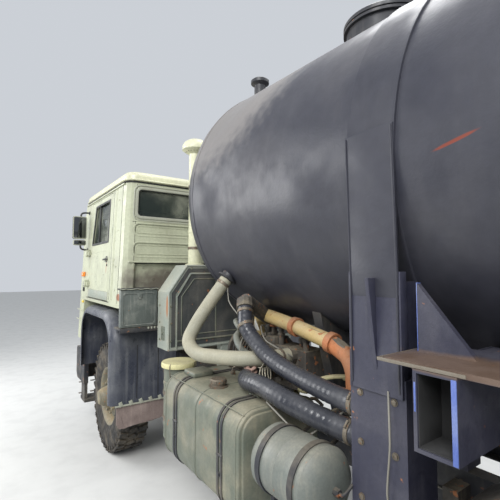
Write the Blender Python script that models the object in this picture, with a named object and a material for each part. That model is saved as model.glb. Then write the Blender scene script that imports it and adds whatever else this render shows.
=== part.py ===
"""A two-axle cab-over tanker truck with a vacuum tank, as separate solids.

Metres, +Z up. The truck faces -Y and +X is its left side. The origin lies on the ground, in the middle.
A station is a distance behind the front of the bumper. Sizes ending in HALF are measured from the middle plane.
"""

import math

import bmesh
import bpy
from mathutils import Matrix, Vector

# Overall
LENGTH = 7.20
WIDTH = 2.50
GAP = 0.0003
OVERRUN = 0.05
CLEARANCE = 0.006
MERGE = 0.00001
PIN_RADIUS = 0.012
PIN_PLAY = 0.0010

# Wheels and axles
FRONT_AXLE = 1.22
WHEELBASE = 4.00
TYRE_RADIUS = 0.56
TYRE_WIDTH = 0.30
TYRE_SHOULDER = 0.045
RIM_RADIUS = 0.285
RIM_LIP = 0.012
FRONT_TRACK = 2.02
KINGPIN_HALF = 0.86
DUAL_SPACING = 0.345
TYRE_STEPS = 24
HUB_RADIUS = 0.125
HUB_DISC = 0.030
SPINDLE_RADIUS = 0.035

# Frame
RAIL_FRONT = 0.16
RAIL_REAR = 7.05
RAIL_TOP = 0.98
RAIL_HEIGHT = 0.25
RAIL_FLANGE = 0.08
RAIL_WALL = 0.010
FRAME_HALF = 0.43
MEMBER_DEPTH = 0.12
FRONT_MEMBER = 0.20
MID_MEMBER = 2.60
REAR_MEMBER = 6.50

# Cab
CAB_FRONT = 0.14
CAB_REAR = 2.00
CAB_HALF = 1.25
CAB_LEAN = 0.035
CAB_BOTTOM = 1.08
CAB_ARCH = 1.56
CAB_ARCH_FRONT = 0.525
CAB_TOP = 2.76
CAB_WALL = 0.05
CAB_REAR_CORNER = 0.10
CAB_FRONT_CORNER = 0.16
SCREEN_BASE = 1.98
SCREEN_SLOPE = 0.22
SCREEN_LOW = 2.06
SCREEN_HIGH = 2.66
SCREEN_HALF = 1.04
GLASS = 0.008
ROOF_HEIGHT = 0.10
ROOF_OVERHANG = 0.03
ROOF_EDGE = 0.045
REAR_SEAM = 1.99
REAR_STEP = 0.04
REAR_STEP_HALF = 1.14
REAR_WINDOW_LOW = 2.41
REAR_WINDOW_HIGH = 2.70
REAR_WINDOW_INNER = 0.49
REAR_WINDOW_OUTER = 1.15
WINDOW_CORNER = 0.05
STAMPING_DEPTH = 0.008
STAMPING_INNER = 0.46
STAMPING_OUTER = 1.17
STAMPINGS = ((2.04, 2.18), (2.24, 2.36))  # low, high
TILT_STATION = 0.24
TILT_HEIGHT = 1.02
TILT_LUG_INNER = 0.262
TILT_LUG_WIDTH = 0.036
TILT_LUG_RADIUS = 0.034
TILT_EAR = 0.020

# Doors
DOOR_FRONT = 0.68
DOOR_REAR = 1.55
DOOR_BOTTOM = 1.60
DOOR_TOP = 2.715
DOOR_WINDOW_FRONT = 0.775
DOOR_WINDOW_REAR = 1.47
DOOR_WINDOW_LOW = 2.21
DOOR_WINDOW_HIGH = 2.655
DOOR_WINDOW_SLANT = 0.10
HINGE_HEIGHTS = (1.76, 2.12)
HINGE_LENGTH = 0.05
HINGE_EYE = 0.022
HINGE_OUT = 0.030
HINGE_AHEAD = 0.014

# Inside the cab
SEAT_HALF = 0.72
SEAT_WIDTH = 0.48
SEAT_FRONT = 1.22
SEAT_REAR = 1.74
SEAT_HEIGHT = 0.42
SEAT_THICKNESS = 0.14
SEAT_BACK_HEIGHT = 0.52
SEAT_BACK_THICKNESS = 0.14
DASH_REAR = 0.58
DASH_LOW = 1.72
DASH_HIGH = 2.03
DASH_HALF = 1.05
DASH_LEG_HALF = 0.16
STEERING_RADIUS = 0.22
STEERING_TUBE = 0.014
STEERING_STATION = 0.86
STEERING_HEIGHT = 2.16
COLUMN_RADIUS = 0.03

# Mirrors
MIRROR_OUT = 1.41
MIRROR_STATION = 0.50
MIRROR_LOW = 2.22
MIRROR_HIGH = 2.58
MIRROR_WIDTH = 0.165
MIRROR_DEPTH = 0.05
MIRROR_ARM = 0.012

# Bumpers
BUMPER_HALF = 1.22
BUMPER_DEPTH = 0.16
BUMPER_LOW = 0.52
BUMPER_HIGH = 0.92
BUMPER_CHAMFER = 0.06
BUMPER_RETURN = 0.46
BUMPER_SKIN = 0.05
LAMP_HALF = 0.86
LAMP_RADIUS = 0.10
LAMP_DEPTH = 0.03
STEP_HEIGHT = 0.32
STEP_DEPTH = 0.20
STEP_PLATE = 0.03
STEP_INNER = 0.86
REAR_BUMPER_LOW = 0.50
REAR_BUMPER_HIGH = 0.64
REAR_BUMPER_DEPTH = 0.10
TAIL_LAMP_HEIGHT = 0.12
TAIL_LAMP_WIDTH = 0.34
TAIL_LAMP_DEPTH = 0.03

# Front mudguards
GUARD_INNER = 0.65
GUARD_OUTER = 1.30
GUARD_TOP = 1.52
GUARD_BOTTOM = 0.66
GUARD_FRONT_BOTTOM = 0.78
GUARD_REACH = 0.66
GUARD_WALL = 0.020
GUARD_CORNER = 0.34
FLAP_BOTTOM = 0.44
FLAP_WALL = 0.012
FLAP_INNER = 0.74
FLAP_OUTER = 1.24
BOX_INNER = 0.92
BOX_OUTER = 1.27
BOX_BOTTOM = 1.39
BOX_TOP = 1.74
BOX_REAR = 2.07
GUARD_ARM = 0.06
GUARD_ARM_HEIGHT = 0.85

# Engine, gearbox and propeller shaft
ENGINE_FRONT = 0.72
ENGINE_REAR = 1.75
ENGINE_HALF = 0.335
ENGINE_LOW = 0.62
ENGINE_HIGH = 1.46
ENGINE_FOOT = 0.10
GEARBOX_RADIUS = 0.19
GEARBOX_REAR = 2.45
SHAFT_HEIGHT = 0.76
SHAFT_RADIUS = 0.045
SHAFT_WAY = 0.09
PINION_REACH = 0.36
PINION_RADIUS = 0.08

# Engine shroud and air intake
SHROUD_FRONT = 2.20
SHROUD_REAR = 2.43
SHROUD_HALF = 0.97
SHROUD_SHOULDER = 1.72
SHROUD_TOP = 1.96
SHROUD_TOP_HALF = 0.80
SHROUD_BOTTOM = 1.22
SHROUD_WALL = 0.020
SHROUD_RIB = 0.012
SHROUD_RIB_INSET = 0.07
SHROUD_LEG = 0.09
INTAKE_HALF = 0.66
INTAKE_STATION = 2.31
INTAKE_RADIUS = 0.06
INTAKE_TOP = 3.16
INTAKE_CAP = 0.125
INTAKE_CAP_HEIGHT = 0.07
INTAKE_FOOT = 0.085
INTAKE_FOOT_HEIGHT = 0.05

# Chassis boxes and tanks
FUEL_FRONT = 2.90
FUEL_REAR = 3.87
FUEL_INNER = 0.62
FUEL_OUTER = 1.20
FUEL_LOW = 0.60
FUEL_HIGH = 1.17
FUEL_CORNER = 0.12
FUEL_STRAP = 0.04
FUEL_STRAP_HEIGHT = 0.008
FUEL_STRAP_SHARES = (0.20, 0.80)
FUEL_CAP_RADIUS = 0.05
RECEIVER_FRONT = 3.91
RECEIVER_REAR = 4.36
RECEIVER_RADIUS = 0.16
RECEIVER_HALF = 1.03
RECEIVER_HEIGHT = 0.97
CANISTER_HALF = 1.01
CANISTER_STATION = 2.75
CANISTER_RADIUS = 0.115
CANISTER_LOW = 0.64
CANISTER_HIGH = 1.22
CANISTER_BAND = 0.008
CANISTER_CAP = 0.135
BATTERY_FRONT = 2.90
BATTERY_REAR = 3.60
BATTERY_INNER = 0.62
BATTERY_OUTER = 1.16
BATTERY_LOW = 0.62
BATTERY_HIGH = 1.08
ARM_HEIGHT = 0.07
ARM_WIDTH = 0.06
ARM_LEVEL = 0.84

# Tank
TANK_RADIUS = 1.00
TANK_HEAD = 0.50
TANK_CYLINDER = 3.00
TANK_FRONT = 2.93
TANK_PIVOT = 4.54
TANK_AXIS_HEIGHT = 2.42
TANK_TILT = 2.5
TANK_STEPS = 40
HEAD_RINGS = 5
BAND_HEIGHT = 0.010
BAND_FRONT = 4.42
BAND_WIDTH = 0.24
REAR_BAND_WIDTH = 0.12
NECK_STATION = 3.90
NECK_RADIUS = 0.27
NECK_HEIGHT = 0.16
LID_RADIUS = 0.30
LID_HEIGHT = 0.035
VENT_STATION = 2.90
VENT_SIDE = 0.33
VENT_RADIUS = 0.05
VENT_TOP = 3.60
VENT_CAP = 0.08
OUTLET_SIDE = 0.45
OUTLET_HEIGHT = 1.75
OUTLET_REAR = 6.78
OUTLET_RADIUS = 0.065
OUTLET_FLANGE = 0.10
OUTLET_FLANGE_DEPTH = 0.03

# Tank carriers
SADDLE_STATION = 3.80
SADDLE_DEPTH = 0.07
SADDLE_HALF = 0.62
SADDLE_TOP = 1.72
SADDLE_FOOT_HALF = 0.43
BRACKET_HALF = 0.965
BRACKET_WALL = 0.025
BRACKET_TOP = 1.90
BRACKET_BOTTOM = 1.42
BRACKET_RIB_SHARES = (0.12, 0.88)
BRACKET_RIB_TOP = 1.86
PANEL_INNER = 0.78
PANEL_OUTER = 0.98
PANEL_FRONT = 4.41
PANEL_REAR = 4.67
PANEL_LOW = 0.90
PANEL_TOP = 1.49
BEAM_FRONT = 4.82
BEAM_REAR = 4.955
BEAM_LOW = 1.35
BEAM_HIGH = 1.60
BEAM_HALF = 1.18
BEAM_WALL = 0.012
BEAM_POCKET = 0.30
BEAM_PLATE = 0.012
GUSSET_FRONT = 4.72
GUSSET_REAR = 4.93
BEAM_PLATE_REAR = 5.30
POST_INNER = 0.30
POST_OUTER = 0.43
CRADLE_BASE_HIGH = 1.40
REAR_CRADLE_STATION = 5.78
REAR_CRADLE_DEPTH = 0.10

# Rear mudguards
REAR_GUARD_RADIUS = 0.64
REAR_GUARD_WALL = 0.012
REAR_GUARD_INNER = 0.58
REAR_GUARD_OUTER = 1.245
REAR_GUARD_START = 48
REAR_GUARD_STOP = 168
REAR_GUARD_STEPS = 10

# Ladder
LADDER_HALF = 0.21
LADDER_STATION = 6.55
LADDER_TUBE = 0.016
LADDER_TOP = 3.30
LADDER_RUNGS = 8
LADDER_TWIST = 0.3
LADDER_STANDOFFS = (1.90, 2.75)  # heights

# Vacuum pump and pipes
PUMP_SIDE = 0.42
PUMP_HEIGHT = 1.24
PUMP_RADIUS = 0.15
PUMP_FRONT = 2.80
PUMP_REAR = 3.26
PUMP_FLANGE = 0.18
PUMP_FLANGE_DEPTH = 0.03
PUMP_FOOT_HALF = 0.10
SPOOL_SIDE = 0.55
SPOOL_STATION = 3.30
SPOOL_HEIGHT = 1.56
MANIFOLD_OUTER = 0.60
MANIFOLD_REAR = 3.74
PIPE_RADIUS = 0.045
HOSE_SIDES = 2
RISER_RADIUS = 0.048
UPPER_RADIUS = 0.050
LOWER_RADIUS = 0.055
PORT_LENGTH = 0.06
PORT_WALL = 0.008
ROUTE_STEPS = 4

# Springs and axle beams
SPRING_HALF = 0.495
SPRING_WIDTH = 0.08
SPRING_REACH = 0.66
SPRING_SAG = 0.13
SPRING_EYE = 0.035
SPRING_THICK = 0.10
SPRING_HANGER = 0.10
BEAM_DROP = 0.14
AXLE_BEAM_HEIGHT = 0.10
AXLE_BEAM_DEPTH = 0.09
AXLE_BEND_HALF = 0.60
BOSS_RADIUS = 0.050
BOSS_HEIGHT = 0.11
KNUCKLE_EAR = 0.035
KNUCKLE_EAR_RADIUS = 0.055
KNUCKLE_WEB = 0.035
CASING_RADIUS = 0.075
DIFF_RADIUS = 0.23
DIFF_DEPTH = 0.19

X_AXIS = Vector((1, 0, 0))
Y_AXIS = Vector((0, 1, 0))
Z_AXIS = Vector((0, 0, 1))


# Places

def y_at(station):
    """World Y of a station behind the front of the bumper."""
    return station - LENGTH / 2


def at(side, station, height):
    return Vector((side, y_at(station), height))


# Shapes, each a closed bmesh

def block(low, high):
    """A box between two corners given as (side, station, height)."""
    low = at(*low)
    high = at(*high)
    size = high - low
    shape = bmesh.new()
    place = Matrix.Translation((low + high) / 2) @ Matrix.Diagonal((*size, 1))
    bmesh.ops.create_cube(shape, size=1, matrix=place)
    return shape


def extruded(outline, axis, start, stop):
    """A closed outline drawn across an axis and pushed along it. Its points are (station, height) across X,
    (side, height) across Y and (side, station) across Z."""
    shape = bmesh.new()
    corners = []
    for first, second in outline:
        place = {
            "X": (start, y_at(first), second),
            "Y": (first, y_at(start), second),
            "Z": (first, y_at(second), start),
        }[axis]
        corners.append(shape.verts.new(place))
    face = shape.faces.new(corners)
    push = {"X": X_AXIS, "Y": Y_AXIS, "Z": Z_AXIS}[axis] * (stop - start)
    made = bmesh.ops.extrude_face_region(shape, geom=[face])
    moved = [item for item in made["geom"] if isinstance(item, bmesh.types.BMVert)]
    bmesh.ops.translate(shape, verts=moved, vec=push)
    bmesh.ops.recalc_face_normals(shape, faces=shape.faces)
    return shape


def rounded_outline(low, high, radius, steps=4):
    """A rectangle between two corner points with four round corners."""
    turns = ((high[0] - radius, high[1] - radius), (low[0] + radius, high[1] - radius),
             (low[0] + radius, low[1] + radius), (high[0] - radius, low[1] + radius))
    points = []
    for quarter, (across, up) in enumerate(turns):
        for step in range(steps + 1):
            angle = math.pi / 2 * (quarter + step / steps)
            points.append((across + radius * math.cos(angle), up + radius * math.sin(angle)))
    return points


def turned(profile, start, along, steps, ring=False, twist=0):
    """A profile of (distance along the axis, radius) points spun about an axis through start."""
    along = along.normalized()
    side = Matrix.Rotation(twist, 3, along) @ along.orthogonal().normalized()
    shape = bmesh.new()
    points = [shape.verts.new(start + along * far + side * radius) for far, radius in profile]
    edges = [shape.edges.new(pair) for pair in zip(points, points[1:])]
    if ring:
        edges.append(shape.edges.new((points[-1], points[0])))
    bmesh.ops.spin(shape, geom=points + edges, cent=start, axis=along, dvec=(0, 0, 0),
                   angle=math.tau, steps=steps, use_merge=True, use_duplicate=False)
    bmesh.ops.remove_doubles(shape, verts=shape.verts, dist=MERGE)
    loose = [edge for edge in shape.edges if not edge.link_faces]
    bmesh.ops.delete(shape, geom=loose, context="EDGES")
    bmesh.ops.recalc_face_normals(shape, faces=shape.faces)
    return shape


def rod(start, stop, radius, steps=12, twist=0):
    """A round bar between two points. A twist keeps its corners off those of a bar that it crosses."""
    length = (stop - start).length
    profile = ((0, 0), (0, radius), (length, radius), (length, 0))
    return turned(profile, start, stop - start, steps, twist=twist)


def smooth_route(places, steps=ROUTE_STEPS):
    """Points of a smooth curve through the route's own points, with its first and last stretches straight."""
    places = [Vector(place) for place in places]
    points = [places[0]]
    for before, here, there, after in zip(places, places[1:], places[2:], places[3:]):
        for step in range(steps):
            t = step / steps
            point = here * 2 + (there - before) * t
            point += (before * 2 - here * 5 + there * 4 - after) * t ** 2
            point += (here * 3 - before - there * 3 + after) * t ** 3
            points.append(point / 2)
    points += places[-2:]
    return points


def route_curve(name, points, radius, resolution=HOSE_SIDES):
    """A curve object whose bevel makes a hose along the points."""
    curve = bpy.data.curves.new(name, "CURVE")
    curve.dimensions = "3D"
    curve.bevel_depth = radius
    curve.bevel_resolution = resolution
    curve.use_fill_caps = True
    spline = curve.splines.new("POLY")
    spline.points.add(len(points) - 1)
    for knot, point in zip(spline.points, points):
        knot.co = (*point, 1)
    return curve


def bent_tube(points, radius, resolution=1):
    """The same hose shape as a bmesh, for joining to other shapes."""
    curve = route_curve("tube", points, radius, resolution)
    holder = bpy.data.objects.new("tube", curve)
    bpy.context.scene.collection.objects.link(holder)
    graph = bpy.context.evaluated_depsgraph_get()
    mesh = holder.evaluated_get(graph).to_mesh()
    shape = bmesh.new()
    shape.from_mesh(mesh)
    bpy.data.objects.remove(holder)
    bpy.data.curves.remove(curve)
    bmesh.ops.remove_doubles(shape, verts=shape.verts, dist=MERGE)
    bmesh.ops.recalc_face_normals(shape, faces=shape.faces)
    return shape


def mirrored(shape):
    """The same shape on the other side of the truck."""
    copy = shape.copy()
    bmesh.ops.scale(copy, verts=copy.verts, vec=(-1, 1, 1))
    bmesh.ops.reverse_faces(copy, faces=copy.faces)
    return copy


def on_side(shapes, side):
    """Shapes drawn for the left side, or their mirror image where side is -1."""
    return list(shapes) if side > 0 else [mirrored(shape) for shape in shapes]


def both_sides(shapes):
    return list(shapes) + [mirrored(shape) for shape in shapes]


def leaning(shapes):
    """The cab's sides lean in as they rise: every point moves in with its height above the door's foot."""
    for shape in shapes:
        for vert in shape.verts:
            vert.co.x *= 1 - CAB_LEAN * (vert.co.z - DOOR_BOTTOM) / (CAB_TOP - DOOR_BOTTOM)
    return shapes


# Objects

def material(name, colour, roughness, metallic=0):
    made = bpy.data.materials.new(name)
    made.use_nodes = True
    shader = made.node_tree.nodes["Principled BSDF"]
    shader.inputs["Base Color"].default_value = (*colour, 1)
    shader.inputs["Roughness"].default_value = roughness
    shader.inputs["Metallic"].default_value = metallic
    return made


def merged(shapes):
    whole = bmesh.new()
    for shape in shapes:
        mesh = bpy.data.meshes.new("shape")
        shape.to_mesh(mesh)
        whole.from_mesh(mesh)
        bpy.data.meshes.remove(mesh)
        shape.free()
    return whole


def placed_object(name, shape, pivot):
    """An object with its origin at the pivot."""
    bmesh.ops.translate(shape, verts=shape.verts, vec=-pivot)
    mesh = bpy.data.meshes.new(name)
    shape.to_mesh(mesh)
    shape.free()
    made = bpy.data.objects.new(name, mesh)
    made.location = pivot
    bpy.context.scene.collection.objects.link(made)
    return made


def boolean(target, shapes, operation):
    helper = placed_object(target.name + "_" + operation.lower(), merged(shapes), Vector())
    helper.hide_render = True
    helper.display_type = "WIRE"
    change = target.modifiers.new(operation.title(), "BOOLEAN")
    change.operation = operation
    change.solver = "EXACT"
    change.use_self = len(shapes) > 1
    change.object = helper


def carried(piece, carrier):
    if carrier:
        piece.parent = carrier
        piece.location = piece.location - carrier.matrix_world.translation


def piece(name, finish, shapes, cuts=(), pivot=None, carrier=None):
    """One node: the first shape, joined by the others, less the cuts."""
    pivot = pivot or Vector()
    made = placed_object(name, shapes[0], pivot)
    for shape in shapes[1:]:
        boolean(made, [shape], "UNION")
    for shape in cuts:
        boolean(made, [shape], "DIFFERENCE")
    made.data.materials.append(finish)
    made.data.shade_smooth()
    made.data.set_sharp_from_angle(angle=math.radians(35))
    carried(made, carrier)
    return made


def hose(name, finish, points, radius):
    made = bpy.data.objects.new(name, route_curve(name, points, radius))
    bpy.context.scene.collection.objects.link(made)
    made.data.materials.append(finish)
    return made


def pivot_empty(name, place, carrier=None):
    made = bpy.data.objects.new(name, None)
    made.location = place
    bpy.context.scene.collection.objects.link(made)
    carried(made, carrier)
    bpy.context.view_layer.update()
    return made


# Frame and bumpers

def make_rails(steel):
    low = RAIL_TOP - RAIL_HEIGHT
    inner = FRAME_HALF - RAIL_FLANGE
    web = FRAME_HALF - RAIL_WALL
    outline = ((inner, low), (FRAME_HALF, low), (FRAME_HALF, RAIL_TOP), (inner, RAIL_TOP),
               (inner, RAIL_TOP - RAIL_WALL), (web, RAIL_TOP - RAIL_WALL), (web, low + RAIL_WALL),
               (inner, low + RAIL_WALL))
    for name, side in (("left", 1), ("right", -1)):
        shape = extruded(outline, "Y", RAIL_FRONT, RAIL_REAR)
        piece("rail_" + name, steel, on_side([shape], side))


def member(station):
    """A crossmember between the webs of the rails, inside their channels."""
    half = FRAME_HALF - RAIL_WALL - GAP
    low = RAIL_TOP - RAIL_HEIGHT + RAIL_WALL + GAP
    return block((-half, station, low), (half, station + MEMBER_DEPTH, RAIL_TOP - RAIL_WALL - GAP))


def make_members(steel):
    top = RAIL_TOP - RAIL_WALL - GAP
    pin_start = TILT_LUG_INNER - CLEARANCE - TILT_EAR
    pin_stop = TILT_LUG_INNER + TILT_LUG_WIDTH + CLEARANCE + TILT_EAR
    ears = []
    for inner in (pin_start, pin_stop - TILT_EAR):
        low = (inner, TILT_STATION - TILT_LUG_RADIUS, top - OVERRUN)
        high = (inner + TILT_EAR, TILT_STATION + TILT_LUG_RADIUS, TILT_HEIGHT + TILT_LUG_RADIUS)
        ears.append(block(low, high))
    pin = rod(at(pin_start + TILT_EAR / 2, TILT_STATION, TILT_HEIGHT),
              at(pin_stop - TILT_EAR / 2, TILT_STATION, TILT_HEIGHT), PIN_RADIUS, 16)
    piece("crossmember_front", steel, [member(FRONT_MEMBER), *both_sides([*ears, pin])])
    way = rod(shaft_point(0), shaft_point(1), SHAFT_WAY)
    piece("crossmember_mid", steel, [member(MID_MEMBER)], [way])
    piece("crossmember_rear", steel, [member(REAR_MEMBER)])


def make_front_bumper(steel):
    front, back = 0, BUMPER_DEPTH - GAP
    outline = ((front, BUMPER_LOW + BUMPER_CHAMFER), (front + BUMPER_CHAMFER, BUMPER_LOW), (back, BUMPER_LOW),
               (back, BUMPER_HIGH), (front + BUMPER_CHAMFER / 2, BUMPER_HIGH),
               (front, BUMPER_HIGH - BUMPER_CHAMFER / 2))
    shapes = [extruded(outline, "X", -BUMPER_HALF, BUMPER_HALF)]
    inner = BUMPER_HALF - BUMPER_SKIN
    wing = block((inner, back - BUMPER_SKIN, BUMPER_LOW), (BUMPER_HALF, BUMPER_RETURN, BUMPER_HIGH))
    hanger_front = BUMPER_RETURN - STEP_DEPTH
    hanger = block((inner, hanger_front, STEP_HEIGHT), (BUMPER_HALF - STEP_PLATE / 2, BUMPER_RETURN - STEP_PLATE,
                                                       BUMPER_LOW + OVERRUN))
    inboard = block((STEP_INNER, hanger_front, STEP_HEIGHT), (STEP_INNER + STEP_PLATE, hanger_front + STEP_PLATE,
                                                             BUMPER_LOW + OVERRUN))
    tie = block((STEP_INNER, back - STEP_PLATE, BUMPER_LOW), (STEP_INNER + STEP_PLATE, hanger_front + STEP_PLATE,
                                                             BUMPER_LOW + OVERRUN + STEP_PLATE))
    tread = block((STEP_INNER - STEP_PLATE, hanger_front - STEP_PLATE, STEP_HEIGHT - STEP_PLATE),
                  (BUMPER_HALF - BUMPER_SKIN / 4, BUMPER_RETURN, STEP_HEIGHT + STEP_PLATE / 4))
    shapes += both_sides([wing, hanger, inboard, tie, tread])
    lamp_height = (BUMPER_LOW + BUMPER_HIGH) / 2
    cuts = [rod(at(LAMP_HALF, -OVERRUN, lamp_height), at(LAMP_HALF, LAMP_DEPTH, lamp_height), LAMP_RADIUS, 20)]
    piece("front_bumper", steel, shapes, both_sides(cuts))


def make_rear_bumper(steel):
    front = LENGTH - REAR_BUMPER_DEPTH
    beam = block((-BUMPER_HALF, front, REAR_BUMPER_LOW),
                 (BUMPER_HALF, LENGTH - TAIL_LAMP_DEPTH, REAR_BUMPER_HIGH))
    arm = block((FRAME_HALF - RAIL_FLANGE, RAIL_REAR + GAP, REAR_BUMPER_HIGH - OVERRUN),
                (FRAME_HALF, front + OVERRUN, RAIL_TOP))
    lamp_middle = (REAR_BUMPER_LOW + REAR_BUMPER_HIGH) / 2
    lamp = block((BUMPER_HALF - TAIL_LAMP_WIDTH, front + OVERRUN / 2, lamp_middle - TAIL_LAMP_HEIGHT / 2),
                 (BUMPER_HALF - CLEARANCE, LENGTH, lamp_middle + TAIL_LAMP_HEIGHT / 2))
    piece("rear_bumper", steel, [beam, *both_sides([arm, lamp])])


# Engine, axles and wheels

def shaft_point(share):
    """Points along the propeller shaft, from the gearbox at 0 to the rear axle's pinion at 1."""
    start = at(0, GEARBOX_REAR, SHAFT_HEIGHT)
    stop = at(0, FRONT_AXLE + WHEELBASE, TYRE_RADIUS)
    return start.lerp(stop, share * (1 - PINION_REACH / (stop - start).length))


def make_engine(iron):
    body = block((-ENGINE_HALF, ENGINE_FRONT, ENGINE_LOW), (ENGINE_HALF, ENGINE_REAR, ENGINE_HIGH))
    foot = block((ENGINE_HALF - OVERRUN, ENGINE_FRONT + ENGINE_FOOT, RAIL_TOP + GAP),
                 (FRAME_HALF, ENGINE_FRONT + ENGINE_FOOT * 2, RAIL_TOP + OVERRUN))
    gearbox = rod(at(0, ENGINE_REAR - OVERRUN, SHAFT_HEIGHT), at(0, GEARBOX_REAR, SHAFT_HEIGHT),
                  GEARBOX_RADIUS, 16)
    shaft = rod(shaft_point(-OVERRUN), shaft_point(1) - (shaft_point(1) - shaft_point(0)).normalized() * GAP,
                SHAFT_RADIUS)
    piece("engine_gearbox", iron, [body, gearbox, shaft, *both_sides([foot])])


def spring_shape(station, seat):
    """A leaf spring with its hangers on the rail's outer face: an arc outline across the truck."""
    inner = SPRING_HALF - SPRING_WIDTH / 2
    outer = SPRING_HALF + SPRING_WIDTH / 2
    top = []
    under = []
    steps = 4
    for step in range(-steps, steps + 1):
        share = step / steps
        rise = SPRING_SAG * share ** 2
        top.append((station + SPRING_REACH * share, seat + SPRING_THICK + rise))
        thick = SPRING_THICK * (1 - share ** 2 * (1 - SPRING_EYE / SPRING_THICK))
        under.append((station + SPRING_REACH * share, seat + SPRING_THICK + rise - thick))
    shapes = [extruded(top + under[::-1], "X", inner, outer)]
    for share in (-1, 1):
        middle = station + (SPRING_REACH - SPRING_EYE) * share
        low = seat + SPRING_SAG + SPRING_THICK - SPRING_EYE * 2
        shapes.append(block((FRAME_HALF + GAP, middle - SPRING_EYE, low),
                            (outer + STEP_PLATE / 4, middle + SPRING_EYE, RAIL_TOP - SPRING_HANGER / 2)))
    return shapes


def make_front_axle(iron):
    station = FRONT_AXLE
    low = TYRE_RADIUS - BEAM_DROP
    half = AXLE_BEAM_HEIGHT / 2
    end = KINGPIN_HALF - BOSS_RADIUS / 2
    rise = KINGPIN_HALF - BOSS_RADIUS * 2.5
    outline = ((-end, TYRE_RADIUS - half), (-rise, TYRE_RADIUS - half), (-AXLE_BEND_HALF, low - half),
               (AXLE_BEND_HALF, low - half), (rise, TYRE_RADIUS - half), (end, TYRE_RADIUS - half),
               (end, TYRE_RADIUS + half), (rise - half, TYRE_RADIUS + half), (AXLE_BEND_HALF - half, low + half),
               (half - AXLE_BEND_HALF, low + half), (half - rise, TYRE_RADIUS + half), (-end, TYRE_RADIUS + half))
    beam = extruded(outline, "Y", station - AXLE_BEAM_DEPTH / 2, station + AXLE_BEAM_DEPTH / 2)
    boss = rod(at(KINGPIN_HALF, station, TYRE_RADIUS - BOSS_HEIGHT / 2),
               at(KINGPIN_HALF, station, TYRE_RADIUS + BOSS_HEIGHT / 2), BOSS_RADIUS, 20)
    reach = BOSS_HEIGHT / 2 + CLEARANCE + KNUCKLE_EAR / 2
    pin = rod(at(KINGPIN_HALF, station, TYRE_RADIUS - reach), at(KINGPIN_HALF, station, TYRE_RADIUS + reach),
              PIN_RADIUS, 16)
    seat = low + half - CLEARANCE
    piece("front_axle", iron, [beam, *both_sides([boss, pin, *spring_shape(station, seat)])])


def make_rear_axle(iron):
    station = FRONT_AXLE + WHEELBASE
    centre = at(0, station, TYRE_RADIUS)
    end = WIDTH / 2 - TYRE_WIDTH - DUAL_SPACING / 2
    casing = rod(at(-end, station, TYRE_RADIUS), at(end, station, TYRE_RADIUS), CASING_RADIUS, 14)
    ball = turned([(-DIFF_DEPTH * math.cos(math.pi * step / 6), DIFF_RADIUS * math.sin(math.pi * step / 6))
                   for step in range(7)], centre, X_AXIS, 16)
    nose = rod(centre, shaft_point(1), PINION_RADIUS)
    stub = rod(at(end - OVERRUN, station, TYRE_RADIUS), at(WIDTH / 2 - TYRE_WIDTH / 2, station, TYRE_RADIUS),
               SPINDLE_RADIUS, 16)
    spring = spring_shape(station, TYRE_RADIUS + CASING_RADIUS - CLEARANCE)
    piece("rear_axle", iron, [casing, ball, nose, *both_sides([stub, *spring])])


def knuckle_shapes():
    """A fork with an ear above and below the axle's end, a web outside it, and the wheel's spindle."""
    station = FRONT_AXLE
    shapes = []
    inner = BOSS_HEIGHT / 2 + CLEARANCE
    web = KINGPIN_HALF + BOSS_RADIUS + CLEARANCE
    for low, high in ((inner, inner + KNUCKLE_EAR), (-inner - KNUCKLE_EAR, -inner)):
        shapes.append(rod(at(KINGPIN_HALF, station, TYRE_RADIUS + low),
                          at(KINGPIN_HALF, station, TYRE_RADIUS + high), KNUCKLE_EAR_RADIUS, 20))
    half = inner + KNUCKLE_EAR - MERGE * 10
    shapes.append(block((web, station - KNUCKLE_EAR, TYRE_RADIUS - half),
                        (web + KNUCKLE_WEB, station + KNUCKLE_EAR, TYRE_RADIUS + half)))
    for low, high in ((inner + MERGE * 10, half), (-half, -inner - MERGE * 10)):
        shapes.append(block((KINGPIN_HALF, station - KNUCKLE_EAR * 0.9, TYRE_RADIUS + low),
                            (web + KNUCKLE_WEB / 2, station + KNUCKLE_EAR * 0.9, TYRE_RADIUS + high)))
    spindle_end = FRONT_TRACK / 2 + TYRE_WIDTH / 4
    shapes.append(rod(at(web + KNUCKLE_WEB / 2, station, TYRE_RADIUS), at(spindle_end, station, TYRE_RADIUS),
                      SPINDLE_RADIUS, 16))
    return shapes


def flat_down(steps):
    """The twist that lays a flat, not a corner, of a shape turned about X on the ground."""
    bottom = X_AXIS.orthogonal().angle(-Z_AXIS)
    return math.pi / steps - math.fmod(bottom, math.tau / steps)


def tyre_profile(middle, width):
    """Outer half of a tyre's section as (side, radius), from its inner bead over the tread to its outer bead.
    The tread's flats, not its corners, lie at the tyre's radius."""
    half = width / 2
    bulge = TYRE_SHOULDER / 3
    tread = TYRE_RADIUS / math.cos(math.pi / TYRE_STEPS)
    return [(middle - half + bulge, RIM_RADIUS), (middle - half, (RIM_RADIUS + TYRE_RADIUS) / 2),
            (middle - half + bulge, tread - TYRE_SHOULDER), (middle - half + TYRE_SHOULDER, tread),
            (middle + half - TYRE_SHOULDER, tread), (middle + half - bulge, tread - TYRE_SHOULDER),
            (middle + half, (RIM_RADIUS + TYRE_RADIUS) / 2), (middle + half - bulge, RIM_RADIUS)]


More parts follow.
